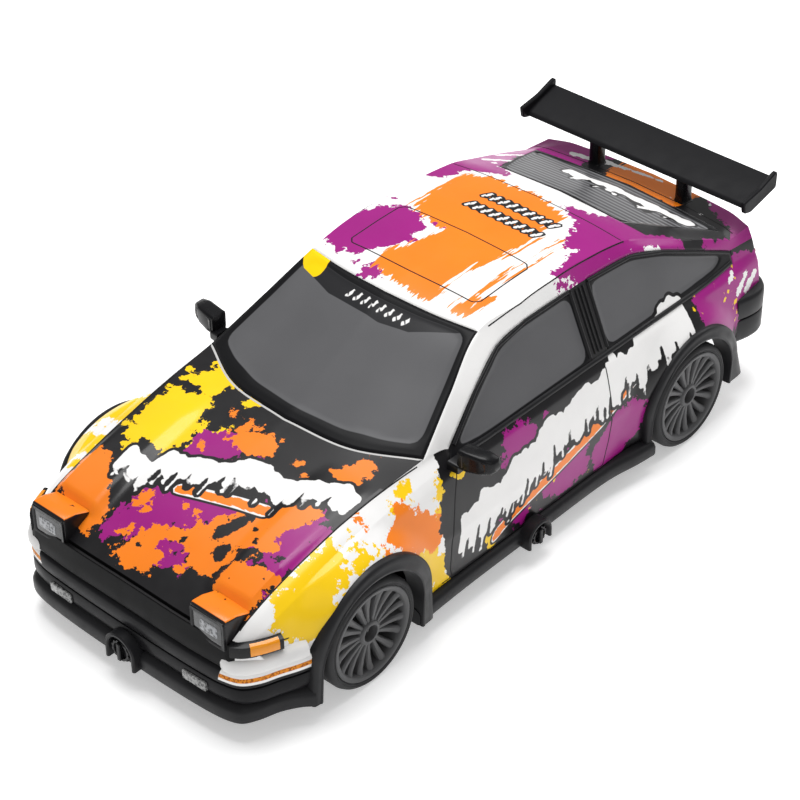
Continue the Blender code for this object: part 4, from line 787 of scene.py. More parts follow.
def tail_finish():
    return livery("printed_tail", BLACK, [
        {"reach": "tail_purple", "colour": PURPLE, "wander": 7.0, "size": (2.2, 2.2, 2.2), "detail": 8.0},
        {"reach": "tail_orange", "colour": ORANGE, "wander": 6.0, "size": (1.2, 9.0, 3.0)},
        {"reach": "tail_white", "colour": WHITE, "wander": 2.0, "size": (1.4, 1.4, 1.4)},
    ])


def decoration(points):
    """The distance of every point of the shell into each printed shape."""
    plan = points[:, :2]
    side = points[:, 1:]
    marks = [((x, y), (x + 0.9, y + 2.2), 0.5, 0.5) for y in ROOF_MARK_ROWS for x in np.arange(-8, 12, 2.4)]
    return {
        "hood_yellow": reach_shapes(plan, HOOD_YELLOW, spatter((-29, -64, -8, -34), 34, 3, 0.2, 1.3)),
        "hood_purple": reach_shapes(plan, HOOD_PURPLE, spatter((-14, -80, 29, -48), 36, 4, 0.2, 0.9)),
        "hood_orange": reach_shapes(plan, HOOD_ORANGE, spatter((-12, -81, 16, -42), 50, 8, 0.2, 0.9)),
        "hood_dark": reach_shapes(plan, HOOD_DARK, spatter((-8, -80, 29, -60), 45, 31, 0.2, 0.8)),
        "hood_drips": reach_drips(plan, paint_drips(HOOD_DRIP_LINE, (0.0, 1.0), *HOOD_DRIPS)),
        "hood_streak": reach_shapes(plan, [HOOD_STREAK]),
        "fender_yellow": reach_shapes(side, FENDER_YELLOW, spatter((-76, 20, -26, 38), 30, 6)),
        "fender_orange": reach_shapes(side, FENDER_ORANGE, spatter((-50, 22, -28, 38), 14, 7)),
        "far_fender_yellow": reach_shapes(side, FAR_FENDER_YELLOW, spatter((-76, 22, -34, 38), 20, 9)),
        "flank_black": reach_shapes(side, FLANK_BLACK),
        "flank_purple": reach_shapes(side, FLANK_PURPLE, spatter((-12, 10, 90, 36), 40, 12)),
        "quarter_strokes": reach_shapes(side, (), QUARTER_STROKES),
        "flank_yellow": reach_shapes(side, FLANK_YELLOW, spatter((38, 22, 76, 37), 46, 17, 0.2, 0.6)
                                     + spatter((-22, 9, 20, 18), 16, 18, 0.2, 0.7)),
        "flank_drips": reach_drips(side, paint_drips(FLANK_DRIP_LINE, FLANK_LEAN, *FLANK_DRIPS)),
        "flank_streak": reach_shapes(side, [FLANK_STREAK]),
        "roof_orange": reach_shapes(plan, ROOF_ORANGE),
        "roof_purple": reach_shapes(plan, ROOF_PURPLE, spatter((-26, -4, -4, 24), 24, 13)),
        "roof_marks": reach_shapes(plan, (), marks),
        "tail_purple": reach_shapes(plan, TAIL_PURPLE),
        "tail_orange": reach_shapes(plan, TAIL_ORANGE),
        "tail_white": reach_shapes(plan, (), TAIL_STROKES + spatter((-30, 52, 20, 90), 40, 21, 0.2, 0.9)),
    }


def set_values(piece, values):
    """Store numbers on a piece's points for its finish to read."""
    for name, numbers in values.items():
        made = piece.data.attributes.new(name, "FLOAT", "POINT")
        made.data.foreach_set("value", np.asarray(numbers, np.float32))


# Shell

def ease(value, low, high):
    """0 below low, 1 above high, and a smooth change between."""
    share = np.clip((value - low) / (high - low), 0, 1)
    return share * share * (3 - 2 * share)


def raised(points):
    """The hood's two raised channels, which run back from the lamp pods and fade out."""
    x, y, z = np.abs(points[:, 0]), points[:, 1], points[:, 2]
    across = ease(x, 15.6, 18.6) * (1 - ease(x, 27.6, 29.3))
    along = ease(y, -78.6, -76.4) * (1 - 0.55 * ease(y, -76, -52)) * (1 - ease(y, -52, -41))
    on_hood = (y < -38) & (z > 24)
    return points + np.stack([0 * x, 0 * x, 1.5 * across * along * on_hood], axis=1)


def bulged(points):
    """The fenders, swollen out to meet the flares round the wheel openings."""
    side, y, z = np.sign(points[:, 0]), points[:, 1], points[:, 2]
    reach = np.abs(points[:, 0])
    grown = reach.copy()
    for centre, top in ((-AXLE_Y, 39.3), (AXLE_Y, 38.9)):
        face = 37.4 + (top - 37.4) * ease(z, 12, 27)
        distance = np.hypot(y - centre, z - AXLE_Z)
        share = (1 - ease(distance, 16.0, 23.0)) * (reach > 33) * (1 - 0.75 * ease(-y, 64, 74))
        grown = np.maximum(grown, reach + np.maximum(face - reach, 0) * share)
    return np.stack([side * grown, y, z], axis=1)


def thicken(piece, depth):
    """Give a skin its thickness, inwards."""
    thickness = piece.modifiers.new("thickness", "SOLIDIFY")
    thickness.thickness = depth * MM
    thickness.offset = -1


def body_shell():
    """The printed skin. Wheel openings are cut back to their circles, which the flares cover."""
    skin = Skin()
    cowl, hatch = column_at(COWL), column_at(HATCH_TOP)
    nose_corner = row_at(RAIL_ROW) - row_at(BELT_ROW) - 2
    hood, left_flank, right_flank, roof, tail, nose = range(6)      # places in the list of finishes below

    def is_body(i, j):
        """Whether a quad of the main grid lies outside every window."""
        for rows, stations in WINDOWS.values():
            beside = row_at(rows[0]) <= i < row_at(rows[1])
            if beside and column_at(stations[0]) <= j < column_at(stations[1]):
                return False
        return True

    def zone(i, j, side):
        if i >= row_at(GLASS_ROW) and j >= cowl or i >= row_at(RAIL_ROW):
            return hood if j < cowl else roof if j < hatch else tail
        return left_flank if side > 0 else right_flank

    def nose_zone(i, j, side):
        if i >= nose_corner:
            return nose
        return left_flank if side > 0 else right_flank

    skin.grid(MAIN, is_body, zone)
    skin.grid(NOSE, None, nose_zone)
    skin.grid(TAIL_FACE, None, lambda i, j, side: tail)
    points = bulged(raised(np.array(skin.points)))
    on_side = np.abs(points[:, 0]) > 30
    inside = np.zeros(len(points), bool)
    for centre, radius in ((-AXLE_Y, FRONT_ARCH_RADIUS + 0.6), (AXLE_Y, REAR_ARCH_RADIUS + 0.6)):
        offset = points[:, 1:] - (centre, AXLE_Z)
        distance = np.linalg.norm(offset, axis=1)
        within = on_side & (distance < radius)
        inside |= within
        points[within, 1:] = (centre, AXLE_Z) + offset[within] * (radius / distance[within])[:, None]
    faces, finishes = [], []
    for face, finish in zip(skin.faces, skin.finishes):
        if not all(inside[k] for k in face):
            faces.append(face)
            finishes.append(finish)
    used = sorted({k for face in faces for k in face})
    number = {k: n for n, k in enumerate(used)}
    points = points[used]
    faces = [[number[k] for k in face] for face in faces]
    nose_black = moulded("nose_black", srgb(16, 16, 17), 0.3, 0.45, Specular_IOR_Level=0.07)
    prints = [hood_finish(), flank_finish(), far_flank_finish(), roof_finish(), tail_finish(), nose_black]
    shell = add_piece("printed_shell", points, faces, prints, "shell", ("body_shell",), 40,
                      finishes)
    set_values(shell, decoration(points))
    thicken(shell, 1.1)


# The glass outlines: windscreen and rear glass in plan (x, y), side glass in side view (y, z).
WINDSCREEN_GLASS = [(-28.4, -27.9), (-21.7, -31.6), (-13, -34.4), (0, -35.5), (13, -34.4), (21.7, -31.6),
                    (28.4, -27.9), (22.2, -6.2), (11, -8.2), (0, -8.9), (-11, -8.2), (-22.2, -6.2)]
REAR_GLASS = [(-17.2, 53.0), (0, 53.8), (17.2, 53.0), (22.0, 63.6), (26.6, 75.8), (13, 77.3), (0, 77.9),
              (-13, 77.3), (-26.6, 75.8), (-22.0, 63.6)]
DOOR_GLASS = [(-20.4, 38.6), (-10.4, 45.2), (-1.2, 50.5), (6, 51.7), (22.2, 51.7), (22.2, 37.9), (-13, 37.9)]
QUARTER_GLASS = [(29.4, 51.6), (43.0, 51.0), (52.6, 48.1), (63.0, 43.5), (72.6, 39.3), (70.0, 37.7),
                 (29.4, 37.9)]
SUN_STRIP = [(-30, 0), (-22.5, -9.0), (-12, -12.3), (3.5, -13.3), (11, -12), (23, -5.5), (30, 0)]
STRIP_YELLOW = [(-26, -12), (-26, 0), (-17.5, -3), (-17, -10)]
REAR_DRIP_LINE = [(-13, 70.5), (-2, 71.5), (10, 72), (22, 72.5)]
REAR_DRIPS = (5.4, 8)                  # height and seed
LOUVRE_PITCH = 1.9


def glass_finish(window):
    """Smoked glass in a black surround, with whatever is printed on that window, and on the rear window
    louvre lines, each with a painted highlight beside it.
    """
    finish = Finish(f"{window}_plastic", Specular_IOR_Level=0.12)
    reach = finish.attribute("glass")
    on_glass = finish.edge(reach)
    colour = finish.mix(finish.edge(reach, 0.2), srgb(20, 20, 22), srgb(92, 92, 94))
    if window == "rear_window":
        # Louvres: a dark line for each slat and a pale line beside it, which is a painted highlight along the
        # slat.
        wave = finish.math("SINE", finish.math("MULTIPLY", finish.along("Y"), 2 * math.pi / LOUVRE_PITCH))
        for first, last, strength, shade in ((0.3, 0.8, 0.75, srgb(34, 34, 36)),
                                             (-0.6, -0.9, 0.6, srgb(150, 150, 152))):
            lines = finish.math("MULTIPLY", finish.span(wave, first, last), on_glass)
            colour = finish.mix(finish.math("MULTIPLY", lines, strength), colour, shade)
    if window == "windscreen":
        strip = finish.edge(finish.attribute("strip"))
        colour = finish.mix(finish.math("MULTIPLY", strip, on_glass), colour, srgb(40, 40, 42))
        yellow = finish.math("MULTIPLY", finish.edge(finish.attribute("strip_yellow")), strip)
        colour = finish.mix(yellow, colour, YELLOW)
        colour = finish.mix(finish.edge(finish.attribute("strip_marks")), colour, WHITE)
    else:
        name, border = ("rear_drips", 0.6) if window == "rear_window" else ("flank_drips", 0.8)
        drips = finish.attribute(name)
        colour = finish.mix(finish.edge(finish.math("ADD", drips, border)), colour, BLACK)
        colour = finish.mix(finish.edge(drips), colour, WHITE)
    finish.tree.links.new(finish.span(reach, -0.2, 0.2, 0.4, 0.34), finish.shader.inputs["Roughness"])
    finish.grain(2.5, 0.015, strength=0.2)
    return finish.paint(finish.shaded(colour, 14.0, 0.05))


def window_print(window, points):
    """The distance of every point of a pane into what is printed on it."""
    plan = points[:, :2]
    if window == "windscreen":
        marks = [((x, -11.3), (x + 0.8, -9.7), 0.45, 0.45) for x in np.arange(-7.5, 9, 2.3)]
        return {"strip": reach_inside(plan, np.array(SUN_STRIP, float)),
                "strip_marks": reach_shapes(plan, (), marks),
                "strip_yellow": reach_inside(plan, rounded(STRIP_YELLOW))}
    if window == "rear_window":
        return {"rear_drips": reach_drips(plan, paint_drips(REAR_DRIP_LINE, (0.0, 1.0), *REAR_DRIPS))}
    return {"flank_drips": reach_drips(points[:, 1:], paint_drips(FLANK_DRIP_LINE, FLANK_LEAN, *FLANK_DRIPS))}


def window_panes():
    """Panes with the glass sunk a little inside its surround, on the same surface as the shell."""
    outlines = {"windscreen": (WINDSCREEN_GLASS, (0, 1)), "rear_window": (REAR_GLASS, (0, 1)),
                "door_window": (DOOR_GLASS, (1, 2)), "quarter_window": (QUARTER_GLASS, (1, 2))}
    for name, (outline, axes) in outlines.items():
        whole = name in ("windscreen", "rear_window")
        finish = glass_finish(name)
        skin = Skin()
        skin.grid(window_part(name), both=whole)
        flat = np.array(skin.points)
        reach = reach_inside(flat[:, axes], rounded(outline, 2.6))
        depth = 0.35 * np.clip(reach / 0.5 + 0.5, 0, 1)
        sunk = flat - depth[:, None] * surface_normals(flat, skin.faces)
        for full, side in [(name, 1)] if whole else [(f"{name}_{end}", side) for end, side in SIDES]:
            faces = skin.faces if side > 0 else [face[::-1] for face in skin.faces]
            pane = add_piece(f"pane_{full}", sunk * (side, 1, 1), faces, finish, "shell", (full,),
                             40)
            set_values(pane, {"glass": reach, **window_print(name, flat)})
            thicken(pane, 0.8)


def surface_normals(points, faces):
    """A unit outward direction at each point, averaged from its faces."""
    normals = np.zeros_like(points)
    for face in faces:
        corners = points[face]
        direction = np.cross(corners[2] - corners[0], corners[-1] - corners[1])
        for k in face:
            normals[k] += direction
    return normals / np.maximum(np.linalg.norm(normals, axis=1, keepdims=True), 1e-9)


# Lines laid on the shell

def full_surface():
    """The whole outer surface with no openings, to lay lines and trims on."""
    skin = Skin()
    for grid in (MAIN, NOSE, TAIL_FACE):
        skin.grid(grid)
    return BVHTree.FromPolygons(skin.points, skin.faces)


SURFACE = full_surface()


def from_above(x, y):
    """The surface and its outward normal under a plan position."""
    place, normal, _, _ = SURFACE.ray_cast(Vector((x, y, 90)), Vector((0, 0, -1)))
    return (place, normal) if normal.z > 0 else (place, -normal)


def from_side(y, z, side=1):
    """The surface and its outward normal, straight in from one side."""
    place, normal, _, _ = SURFACE.ray_cast(Vector((90 * side, y, z)), Vector((-side, 0, 0)))
    return (place, normal) if normal.x * side > 0 else (place, -normal)


def dense(path, pitch=0.8):
    """Points along a path at an even pitch."""
    path = np.array(path, float)
    lengths = np.concatenate([[0], np.cumsum(np.linalg.norm(np.diff(path, axis=0), axis=1))])
    count = max(int(lengths[-1] / pitch), 2)
    places = np.linspace(0, lengths[-1], count + 1)
    return np.stack([np.interp(places, lengths, path[:, k]) for k in range(path.shape[1])], axis=1)


# A bead's section, as shares of its half width and its height
BEAD = [(-1, -0.3), (-0.9, 0.35), (-0.5, 0.85), (0, 1), (0.5, 0.85), (0.9, 0.35), (1, -0.3)]


def ribbon(shape, path, width, height, cast):
    """A low rounded bead along a path on the surface. cast finds the surface under each point of it."""
    found = [cast(*pair) for pair in dense(path)]
    found = [(place, normal) for place, normal in found if place is not None]
    sections = []
    for n, (place, normal) in enumerate(found):
        before, after = found[max(n - 1, 0)][0], found[min(n + 1, len(found) - 1)][0]
        across = normal.cross(after - before).normalized()
        section = []
        for share, rise in BEAD:
            section.append(place + across * (share * width / 2) + normal * (rise * height))
        sections.append(section)
    if len(sections) > 1:
        shape.loft(sections)


def both_ways(path):
    """A plan path and its mirror image."""
    return [path, [(-x, y) for x, y in path]]


def seams():
    """Dark panel lines, and a painted highlight: a pale bead along the foot of the windscreen."""
    shape = Shape()
    hood_edge = [(x + 0.05, y) for x, y, z in [(29.0, -81.5, 0)] + RAIL[1:5] + [(31.0, -31.5, 0)]]
    plan_lines = both_ways(hood_edge)
    plan_lines += both_ways([(24.3, -1.5), (24.9, 8), (24.7, 23), (24.8, 36), (25.0, 43.5)])
    plan_lines += [[(-25.2, 43.2), (-14, 43.6), (0, 43.8), (14, 43.6), (25.2, 43.2)]]
    sunroof = [(-18.6, 2.6), (-17.4, 1.3), (0, 0.8), (17.4, 1.3), (18.6, 2.6), (18.6, 18.0), (17.4, 19.3),
               (0, 19.6), (-17.4, 19.3), (-18.6, 18.0), (-18.6, 2.6)]
    plan_lines.append(sunroof)
    plan_lines += [[(-29.5, 79.6), (-15, 80.6), (0, 80.9), (15, 80.6), (29.5, 79.6)]]
    for line in plan_lines:
        ribbon(shape, line, 0.34, 0.05, from_above)
    side_lines = [[(-23.2, 36.2), (-25.2, 30), (-27.4, 20), (-27.4, 12), (-26.6, 9.4)],
                  [(25.8, 36.2), (26.4, 26), (25.6, 16), (24.4, 9.4)],
                  [(-30, 9.6), (24.4, 9.4)],
                  [(-75.4, 23.2), (-68, 22.6)]]
    for side in (1, -1):
        for line in side_lines:
            ribbon(shape, line, 0.34, 0.05, lambda y, z, side=side: from_side(y, z, side))
    line_black = moulded("line_black", srgb(22, 22, 23), 0.5, 0.7)
    shape.piece("panel_lines", line_black, "shell", (), "black_plastic")
    # Painted highlight: a pale bead along the hood's rear edge stands in for the light caught there.
    cowl = MAIN[row_at(RAIL_ROW):, column_at(COWL), :2] - (0, 0.3)
    edge = Shape()
    for side in (1, -1):
        ribbon(edge, cowl * (side, 1), 0.5, 0.06, from_above)
    painted_highlight_white = moulded("painted_highlight_white", srgb(192, 191, 190), 0.35, 0.5)
    edge.piece("cowl_painted_highlight", painted_highlight_white, "shell", (), "painted_plastic")


def trims():
    """Raised beads: belt mouldings, drip rails, window surrounds and pillar ribs."""
    shape = Shape()
    belt = [(y, z) for x, y, z in BELT[5:14]]
    for side in (1, -1):
        def cast(y, z, side=side):
            return from_side(y, z, side)
        ribbon(shape, [(-21.5, 37.2)] + belt[1:] + [(75.5, 36.3)], 1.3, 0.45, cast)
        ribbon(shape, [(22.9, 38.0), (22.9, 52.4)], 0.9, 0.4, cast)
        ribbon(shape, [(28.7, 38.0), (28.7, 52.2)], 0.9, 0.4, cast)
        for y in (24.6, 25.8, 27.0):
            ribbon(shape, [(y, 38.2), (y, 52.2)], 0.5, 0.35, cast)
        ribbon(shape, [(-21.0, 39.2), (-10.6, 46.5), (-1.6, 51.3), (8, 52.6), (22.5, 52.6)], 0.9, 0.35, cast)
        ribbon(shape, [(28.7, 52.5), (43.2, 51.8), (53.2, 48.8), (64.2, 44.0), (75.8, 38.4)], 0.9, 0.35, cast)
    trim_black = moulded("trim_black", srgb(24, 24, 26), 0.25, 0.4)
    shape.piece("window_trims", trim_black, "shell", (), "black_plastic")


def build_shell():
    """The skin with its windows, panel lines and trims."""
    body_shell()
    window_panes()
    seams()
    trims()


# Fitted bars

def plan_path(path, steps=6, whole=True):
    """A smooth plan path with its outward directions, carried over to the other side if it is whole."""
    points = smooth_curve(path, (), steps)
    slopes = np.gradient(points, axis=0)
    slopes /= np.linalg.norm(slopes, axis=1, keepdims=True)
    outward = np.stack([slopes[:, 1], -slopes[:, 0]], axis=1)
    if points[0, 1] > 0:
        outward = -outward
    if whole:
        outward[0] = (0, np.sign(outward[0, 1]))
        flip = np.array((-1, 1))
        points = np.concatenate([(points[1:] * flip)[::-1], points])
        outward = np.concatenate([(outward[1:] * flip)[::-1], outward])
    return points, outward


def bar(shape, path, profile, steps=6, whole=True):
    """A profile of (outward, height) carried along a plan path."""
    points, outward = plan_path(path, steps, whole)
    sections = []
    for point, direction in zip(points, outward):
        section = []
        for out, z in profile:
            place = point + out * direction
            section.append((place[0], place[1], z))
        sections.append(section)
    shape.loft(sections)


def corner_bumper_finish():
    """Dark plastic whose ends are painted white with an amber stripe."""
    finish = Finish("bumper_plastic", Specular_IOR_Level=0.1)
    across = finish.math("ABSOLUTE", finish.along("X"))
    height = finish.along("Z")
    start = finish.math("SUBTRACT", across, finish.math("ADD", finish.math("MULTIPLY", height, 0.25), 22.6))
    white = finish.math("MULTIPLY", finish.edge(start), finish.edge(finish.math("SUBTRACT", height, 15.1)))
    colour = finish.mix(white, srgb(24, 24, 26), WHITE)
    stripe = finish.math("SUBTRACT", 0.55, finish.math("ABSOLUTE", finish.math("SUBTRACT", height, 16.4)))
    flecks = finish.span(finish.noise((0.5, 0.5, 0.5), 2, 8.0), 0.4, 0.55)
    amber = finish.mix(flecks, srgb(150, 78, 22), srgb(226, 140, 40))
    colour = finish.mix(finish.math("MULTIPLY", finish.edge(start), finish.edge(stripe)), colour, amber)
    finish.rough(0.28, 0.42)
    finish.grain(0.4, 0.02)
    return finish.paint(finish.shaded(colour, 8.0, 0.08))


def front_end():
    """Front bumper, the blocks over its ends, and the lip with the opening for the front latch."""
    bumper = Shape()
    bar(bumper, FRONT_BUMPER_PATH,
        [(-2.2, 9.3), (-0.9, 9.4), (-0.3, 10.0), (0, 11.0), (0, 13.4), (-0.12, 13.7), (-0.5, 13.85),
         (-0.5, 14.05), (-0.12, 14.2), (0, 14.5), (0.1, 16.0), (0, 17.4), (-0.35, 17.95), (-0.9, 18.2),
         (-2.3, 19.2)])
    bumper.piece("bumper_front", corner_bumper_finish(), "shell", ("front_bumper",), "painted_plastic")
    corner = Shape()
    bar(corner, [(26.2, -84.6), (28.4, -85.3), (31.2, -84.3), (33.7, -81.0), (35.3, -76.9), (36.9, -72.9),
                 (37.4, -71.0)],
        [(-2.4, 18.0), (-0.2, 18.05), (0.3, 18.2), (0.45, 18.6), (0.45, 19.8), (0.2, 20.7), (-0.5, 21.4),
         (-2.4, 21.9)],
        6, whole=False)
    white = moulded("corner_white", srgb(222, 221, 220), 0.28, 0.4, 1.2, 0.015)
    corner.pair("bumper_corner", white, slot="painted_plastic")
    dark = moulded("lip_black", srgb(30, 30, 32), 0.32, 0.48)
    lip = Shape()
    bar(lip, FRONT_LIP_PATH,
        [(-2.4, 5.0), (-0.7, 4.95), (-0.1, 5.3), (0, 6.0), (0, 7.6), (-0.2, 8.3), (-0.7, 8.9), (-2.4, 9.7)])
    arch(lip, (0, 8.4), 4.4, 3.4, 4.95, 1, -85.4, -88.9)
    lip.piece("lip_front", dark, "shell", ("front_lip",), "black_plastic")
    return dark


def rear_end(dark):
    """Rear bumper."""
    bumper = Shape()
    bar(bumper, REAR_BUMPER_PATH,
        [(-2.4, 15.3), (-0.9, 15.3), (-0.3, 15.8), (0, 16.6), (0, 21.3), (-0.12, 21.6), (-0.5, 21.75),
         (-0.5, 21.95), (-0.12, 22.1), (0, 22.4), (0, 26.4), (-0.3, 27.1), (-0.9, 27.5), (-2.4, 27.5)])
    bumper.piece("bumper_rear", dark, "shell", ("rear_bumper",), "black_plastic")


def skirt_section(opening, edge, face_x, inner_x=34.8):
    """A rounded section of a wheel arch flare between its opening and its outer edge, both (y, z)."""
    opening, edge = np.array(opening), np.array(edge)
    out = edge - opening
    width = np.linalg.norm(out)
    out = out / max(width, 1e-9)

    def at(x, share_mm):
        place = opening + out * share_mm
        return (x, place[0], place[1])

    return [at(inner_x, 0), at(face_x - 0.5, 0), at(face_x - 0.12, 0.1), at(face_x, 0.4),
            at(face_x - 0.05, 0.75), at(face_x - 0.2, 0.95), at(face_x - 0.25, width * 0.6),
            at(face_x - 0.4, width * 0.85), at(face_x - 0.8, width * 0.97), at(face_x - 1.4, width),
            at(inner_x, width)]


def flare(shape, centre, radii, outer_centre, legs_y, legs_z, top_x, sill_x=38.8):
    """A wheel arch flare between two circles, on legs that reach down to the given heights."""
    steps = 40
    inner_angles = np.radians(np.linspace(180, 0, steps + 1))
    outer_angles = np.radians(np.linspace(168, 12, steps + 1))
    inner = [(centre[0] + radii[0] * math.cos(a), centre[1] + radii[0] * math.sin(a)) for a in inner_angles]
    outer = [(outer_centre[0] + radii[1] * math.cos(a), outer_centre[1] + radii[1] * math.sin(a))
             for a in outer_angles]
    inner = [(centre[0] - radii[0], legs_z[0])] + inner + [(centre[0] + radii[0], legs_z[1])]
    outer = [(legs_y[0], legs_z[0])] + outer + [(legs_y[1], legs_z[1])]
    sections = []
    for opening, edge in zip(inner, outer):
        rise = min(max((edge[1] - AXLE_Z) / 12, 0), 1)
        sections.append(skirt_section(opening, edge, sill_x + 0.4 + (top_x - sill_x - 0.4) * rise))
    shape.loft(sections)


def sill(shape):
    """The bar between the wheels, which swings out to meet the rear flare."""
    path = [(38.6, -39.2), (38.2, -30), (38.0, -20), (38.0, 0), (38.0, 20), (38.4, 27), (39.6, 34),
            (40.2, 39.4)]
    sections = []
    for x, y in smooth_curve(path, (), 4):
        sections.append([(34.4, y, 8.9), (x - 1.2, y, 8.8), (x - 0.4, y, 8.35), (x, y, 7.6), (x, y, 5.7),
                         (x - 0.25, y, 5.1), (x - 0.8, y, 4.9), (34.4, y, 4.9)])
    shape.loft(sections)


def arch(shape, centre, outer, inner, bottom, axis, low, high):
    """A half-round boss with an opening in it, on legs that reach down to a level."""
    sections = []
    soft = 0.3 if high > low else -0.3
    others = [k for k in range(3) if k != axis]
    for angle in np.radians(np.linspace(0, 180, 25)):
        ends = []
        for radius, level in ((inner, low), (inner, high - soft), (inner + 0.25, high), (outer - 0.3, high),
                              (outer, high - soft), (outer, low)):
            pair = [centre[0] + radius * math.cos(angle), centre[1] + radius * math.sin(angle)]
            place = [0.0, 0.0, 0.0]
            place[axis] = level
            place[others[0]], place[others[1]] = pair
            ends.append(tuple(place))
        sections.append(ends)
    feet = [[(x, y, bottom) for x, y, z in sections[end]] for end in (0, -1)]
    shape.loft([feet[0]] + sections + [feet[1]])


def skirts(dark):
    """A sill, its two wheel arch flares and the boss round the side latch, in one piece on each side."""
    shape = Shape()
    sill(shape)
    flare(shape, (-AXLE_Y, AXLE_Z), (FRONT_ARCH_RADIUS, 17.9), (-AXLE_Y + 0.9, AXLE_Z + 0.1), (-71.6, -34.8),
          (4.9, 4.9), 40.4)
    flare(shape, (AXLE_Y, AXLE_Z), (REAR_ARCH_RADIUS, 17.6), (AXLE_Y + 0.7, AXLE_Z), (37.6, 74.8),
          (4.9, 8.6), 40.0)
    arch(shape, (-1.5, 6.9), 3.9, 3.0, 4.9, 0, 37.3, 40.3)
    shape.pair("skirt", dark, "side_skirt")


# Lamps, mirrors, wing and latches

def section_box(x, low, high, corner=0.5, steps=4):
    """A rounded rectangle in side view at one x, from (y, z) low to high."""
    (y0, z0), (y1, z1) = low, high
    ring = rounded([(y0, z0), (y1, z0), (y1, z1), (y0, z1)], corner, steps)
    return [(x, y, z) for y, z in ring]


def pod_finish():
    """The lamp pod: orange print with dark spots on the faces that look up, dark on the faces that don't and
    on the frame round the lens.
    """
    finish = Finish("pod_top_print", Coat_Weight=0.25, Coat_Roughness=0.18)
    facing = finish.tree.nodes.new("ShaderNodeSeparateXYZ")
    finish.tree.links.new(finish.tree.nodes["Texture Coordinate"].outputs["Normal"], facing.inputs[0])
    # The orange keeps to faces whose normal points nearly straight up; every other face is dark.
    upward = finish.edge(finish.math("SUBTRACT", facing.outputs["Z"], 0.7), 0.1)
    behind = finish.math("ADD", finish.along("Y"), 84.4)
    wave = finish.noise((2.4, 2.4, 2.4), 8, 4.0, 0.65)
    spots = finish.edge(finish.math("SUBTRACT", wave, 0.66), 0.02)
    colour = finish.mix(spots, ORANGE, BLACK)
    colour = finish.mix(finish.math("MULTIPLY", upward, finish.edge(behind)), BLACK, colour)
    finish.rough(0.3, 0.42)
    finish.grain(1.2, 0.015, strength=0.25)
    return finish.paint(finish.shaded(colour, 9.0, 0.05))


def reflector(name, dark, light, size):
    """Clear moulded lens over a faceted reflector, its glints painted into the colour: bright cells among
    dark ones.
    """
    finish = Finish(name, Coat_Weight=0.6, Coat_Roughness=0.06)
    glint_cells = finish.cells((size, size, size))
    broken = finish.noise((size * 0.7,) * 3, 4, 3.0)
    # Painted reflection: the light colour fills the cells as the reflector's glints.
    share = finish.span(finish.math("MULTIPLY", glint_cells, broken), 0.12, 0.34)
    finish.rough(0.12, 0.3, 1.5)
    finish.grain(size, 0.08, strength=0.5)
    return finish.paint(finish.mix(share, dark, light))


def layered(ring, *levels):
    """Sections for a flat lamp face: a front-view outline, drawn in by the distance of each (distance, y)."""
    return [[(x, y, z) for x, z in (shrunk(ring, inset) if inset else ring)] for inset, y in levels]


def front_outline(left, bottom, right, top, corner):
    """A rounded rectangle in front view."""
    return rounded([(left, bottom), (right, bottom), (right, top), (left, top)], corner, 4)


def headlights(dark):
    """Raised pods, each with a frame, a dark lens and a lamp bowl behind it, whose brightness is a painted
    reflection.
    """
    pod = Shape()
    sections = []
    for x, inset in ((18.5, 0.5), (18.75, 0.12), (19.2, 0.0), (27.9, 0.0), (28.35, 0.12), (28.6, 0.5)):
        front, rear = -84.9 + inset, -77.9 - inset * 0.2
        sections.append([(x, front, 22.6), (x, front, 30.0 - inset), (x, front + 0.25, 30.4 - inset),
                         (x, front + 0.8, 30.6 - inset), (x, -81.5, 30.3 - inset * 0.8),
                         (x, rear, 29.0 - inset * 0.5), (x, rear, 22.6)])
    pod.loft(sections)
    pod.pair("pod", pod_finish(), "headlight_pod")
    outer = front_outline(18.7, 22.9, 28.4, 30.1, 0.6)
    inner = front_outline(19.7, 23.8, 27.4, 29.2, 0.5)
    frame_shape = Shape()
    rise = layered(outer, (0, -84.7), (0.15, -85.15))
    frame_shape.loft(rise + layered(inner, (-0.25, -85.15), (0, -84.95)), caps=False)
    frame_shape.pair("pod_frame", dark)
    lens = Shape()
    lens.loft(layered(inner, (0, -84.8), (0, -84.98), (0.3, -85.02)))
    lens.pair("lens", reflector("headlight_glass", srgb(16, 17, 18), srgb(50, 52, 55), 1.3),
              "headlight_lens", "clear_plastic")
    # The bowl's bright cells are painted reflections.
    bowl = Shape()
    bowl.loft(layered(front_outline(21.4, 25.2, 26.3, 28.0, 0.5), (0, -84.9), (0, -85.06), (0.25, -85.1)))
    bowl.pair("lamp_bowl", reflector("headlight_bowl", srgb(60, 62, 66), srgb(150, 152, 156), 0.8),
              slot="clear_plastic")


def markers(dark):
    """Amber corner lenses in dark frames, wrapped round the nose."""
    path = [(29.4, -85.0), (31.6, -83.4), (33.7, -80.3), (35.6, -75.9)]
    housing = Shape()
    bar(housing, path, [(-2.6, 21.9), (-0.5, 21.95), (-0.05, 22.1), (0, 22.4), (0, 24.5), (-0.05, 24.85),
                        (-0.5, 25.0), (-2.6, 25.0)], 5, whole=False)
    housing.pair("marker_frame", dark)
    lens = Shape()
    bar(lens, smooth_curve(path, (), 5)[7:-1],
        [(-0.3, 22.5), (0.12, 22.55), (0.26, 22.8), (0.26, 24.4), (0.12, 24.75), (-0.2, 24.95),
         (-0.9, 25.1), (-0.9, 24.0)], 1, whole=False)
    amber = moulded("marker_glass", srgb(228, 142, 16), 0.12, 0.25, 0.45, 0.03, Coat_Weight=0.4)
    lens.pair("marker", amber, "marker_lamp", "amber_plastic")


